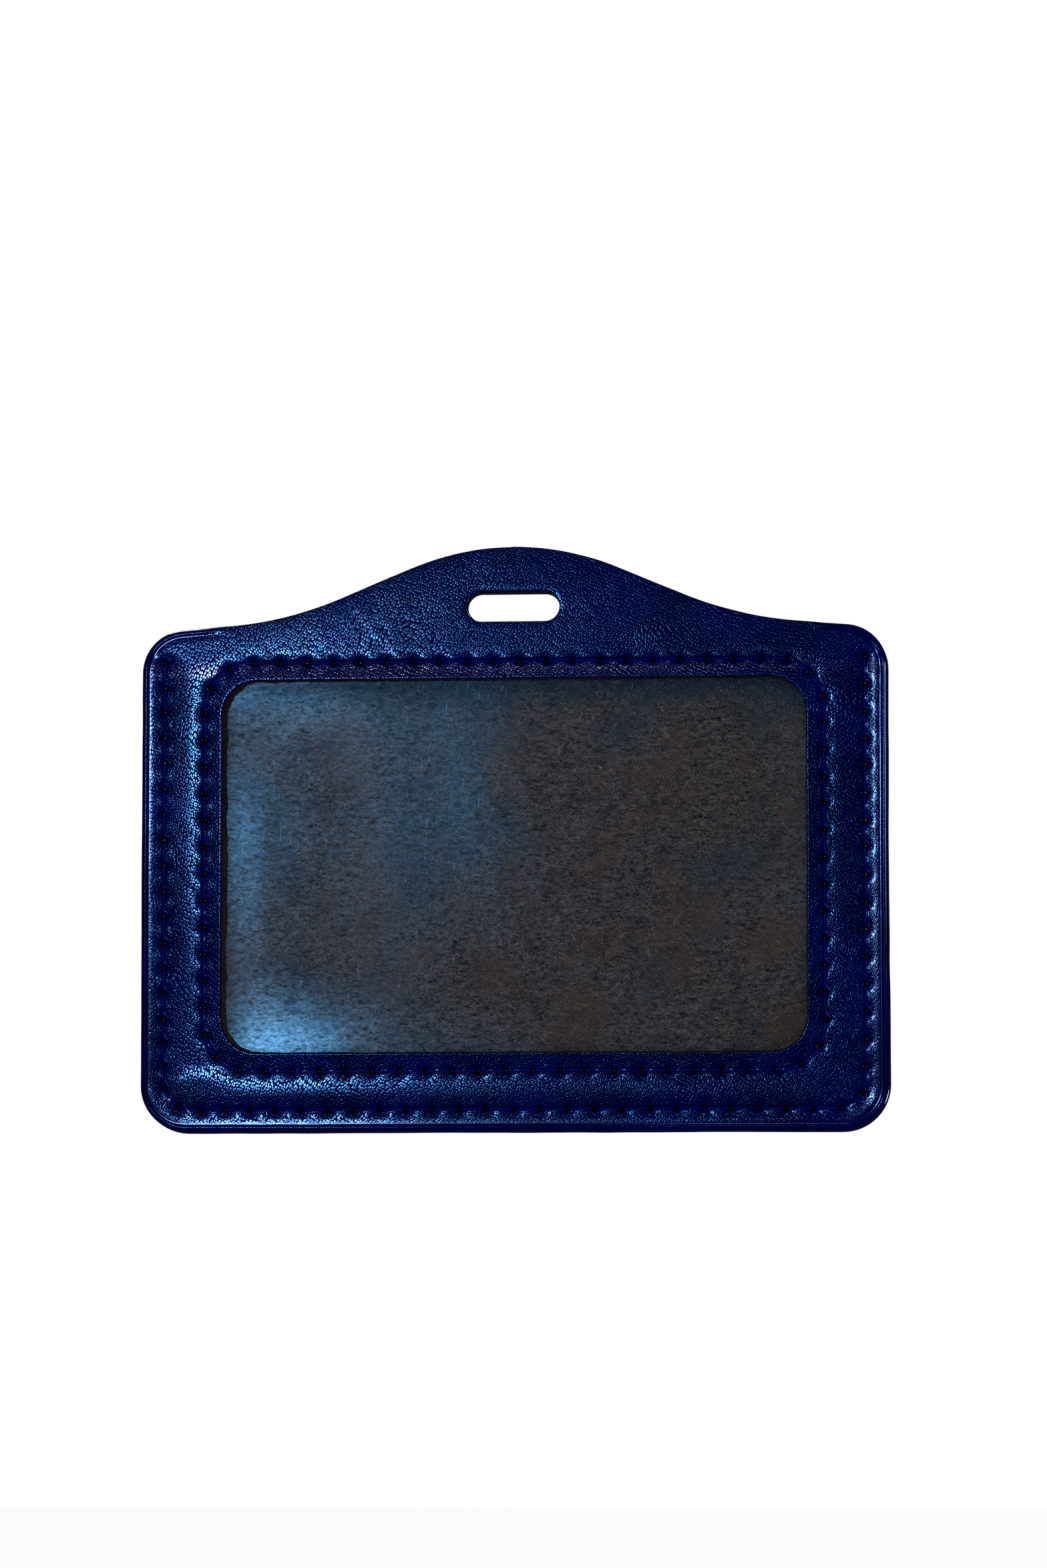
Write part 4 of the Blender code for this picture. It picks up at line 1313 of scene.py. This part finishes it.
window_top = dress(
    stitches("window_stitches", window_seam, WINDOW_HOLES, WINDOW_HOLE_XZ, True, -1, needle_rise, seed=5),
    THREAD,
)
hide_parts("window_needle_thread")
edge_top = dress(
    stitches("edge_stitches", edge_seam, EDGE_HOLES, EDGE_HOLE_XZ, False, -1, needle_rise, seed=6),
    THREAD,
)
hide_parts("edge_needle_thread")
edge_back = dress(
    stitches("edge_bobbin_stitches", edge_seam, EDGE_HOLES, EDGE_HOLE_XZ, False, 1, bobbin_rise, seed=7),
    THREAD,
)
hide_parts("edge_bobbin_thread")
window_back = dress(
    stitches(
        "window_bobbin_stitches", window_seam, WINDOW_HOLES, WINDOW_HOLE_XZ, True, 1, inside_rise, ply_r=0.085, m=11, sides=5, seed=8
    ),
    THREAD,
)
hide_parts("window_bobbin_thread")

# ------------------------------------------------------- camera, lights, floor

scene = bpy.context.scene
scene.view_settings.view_transform = "Standard"
scene.view_settings.look = "None"
scene.view_settings.exposure = 0.0
scene.view_settings.gamma = 1.0
# the leather is all fine grain, which a denoiser would smear
scene.cycles.use_denoising = False

CAM_AZ, CAM_EL, CAM_D = 5.0, -5.0, 900.0
AIM = (1.44, 0.0, -26.60)
PX_PER_MM = 10.0

cam_data = bpy.data.cameras.new("camera")
cam_data.sensor_fit = "AUTO"
cam_data.sensor_width = 36.0
cam_data.lens = 36.0 * CAM_D / (2349.0 / PX_PER_MM)
cam = bpy.data.objects.new("camera", cam_data)
scene.collection.objects.link(cam)
az, el = math.radians(CAM_AZ), math.radians(CAM_EL)
back = Vector((math.sin(az) * math.cos(el), -math.cos(az) * math.cos(el), math.sin(el)))
cam.location = (Vector(AIM) + back * CAM_D) * MM
cam.rotation_mode = "QUATERNION"
roll = Vector((0, 0, 1))
cam.rotation_quaternion = (-back).to_track_quat("-Z", "Y")
cam_data.clip_start, cam_data.clip_end = 0.01, 20.0
scene.camera = cam


def lamp(name, place, target, size, watts, colour):
    data = bpy.data.lights.new(name, "AREA")
    data.shape = "DISK"
    data.size = size * MM
    data.energy = watts
    data.color = colour
    obj = bpy.data.objects.new(name, data)
    scene.collection.objects.link(obj)
    obj.location = Vector(place) * MM
    obj.rotation_mode = "QUATERNION"
    obj.rotation_quaternion = (Vector(target) - Vector(place)).to_track_quat("-Z", "Y")
    obj.visible_diffuse = False  # the world gives the even light, the lamps only the shine
    obj.visible_camera = False


CENTRE = (0.0, 0.0, -35.0)
WHITE = (1.0, 1.0, 1.0)
lamp("key", (-119.0, -600.0, 31.0), CENTRE, 42.0, 6.8, WHITE)
lamp("top", (0.0, -560.0, 262.0), CENTRE, 40.0, 0.8, WHITE)
lamp("back_key", (150.0, 560.0, 190.0), CENTRE, 120.0, 6.0, WHITE)
lamp("back_top", (-160.0, 240.0, 330.0), CENTRE, 140.0, 1.6, WHITE)

lamp("low_left", (-400.0, -400.0, -250.0), (-20.0, 0.0, -20.0), 110.0, 1.7, WHITE)
lamp("back_low_right", (440.0, 440.0, -170.0), CENTRE, 120.0, 1.5, WHITE)
lamp("right", (640.0, -130.0, 60.0), CENTRE, 120.0, 2.0, WHITE)

world = bpy.data.worlds.new("studio")
world.use_nodes = True
wt = world.node_tree
background = wt.nodes["Background"]
background.inputs["Color"].default_value = (1.0, 1.0, 1.0, 1.0)
ray = wt.nodes.new("ShaderNodeLightPath")
dimmer = wt.nodes.new("ShaderNodeMapRange")
wt.links.new(ray.outputs["Is Glossy Ray"], dimmer.inputs["Value"])
dimmer.inputs["To Min"].default_value = 1.0
dimmer.inputs["To Max"].default_value = 0.015
wt.links.new(dimmer.outputs[0], background.inputs["Strength"])
scene.world = world

floor_z = -330.0
side = 6000.0
floor_mesh = bpy.data.meshes.new("floor")
floor_mesh.from_pydata(
    [(x * side * MM, y * side * MM, floor_z * MM) for x, y in ((-1, -1), (1, -1), (1, 1), (-1, 1))], [], [(0, 1, 2, 3)]
)
floor = bpy.data.objects.new("floor", floor_mesh)
scene.collection.objects.link(floor)
fg = Graph("pale_floor")
fs = fg.node("ShaderNodeBsdfPrincipled")
fs.inputs["Base Color"].default_value = rgb(0.97, 0.97, 0.97)
fs.inputs["Roughness"].default_value = 0.9
fs.inputs["Specular IOR Level"].default_value = 0.0
fg.put(fg.out.inputs["Surface"], fs.outputs[0])
floor_mesh.materials.append(fg.mat)
floor.visible_glossy = False
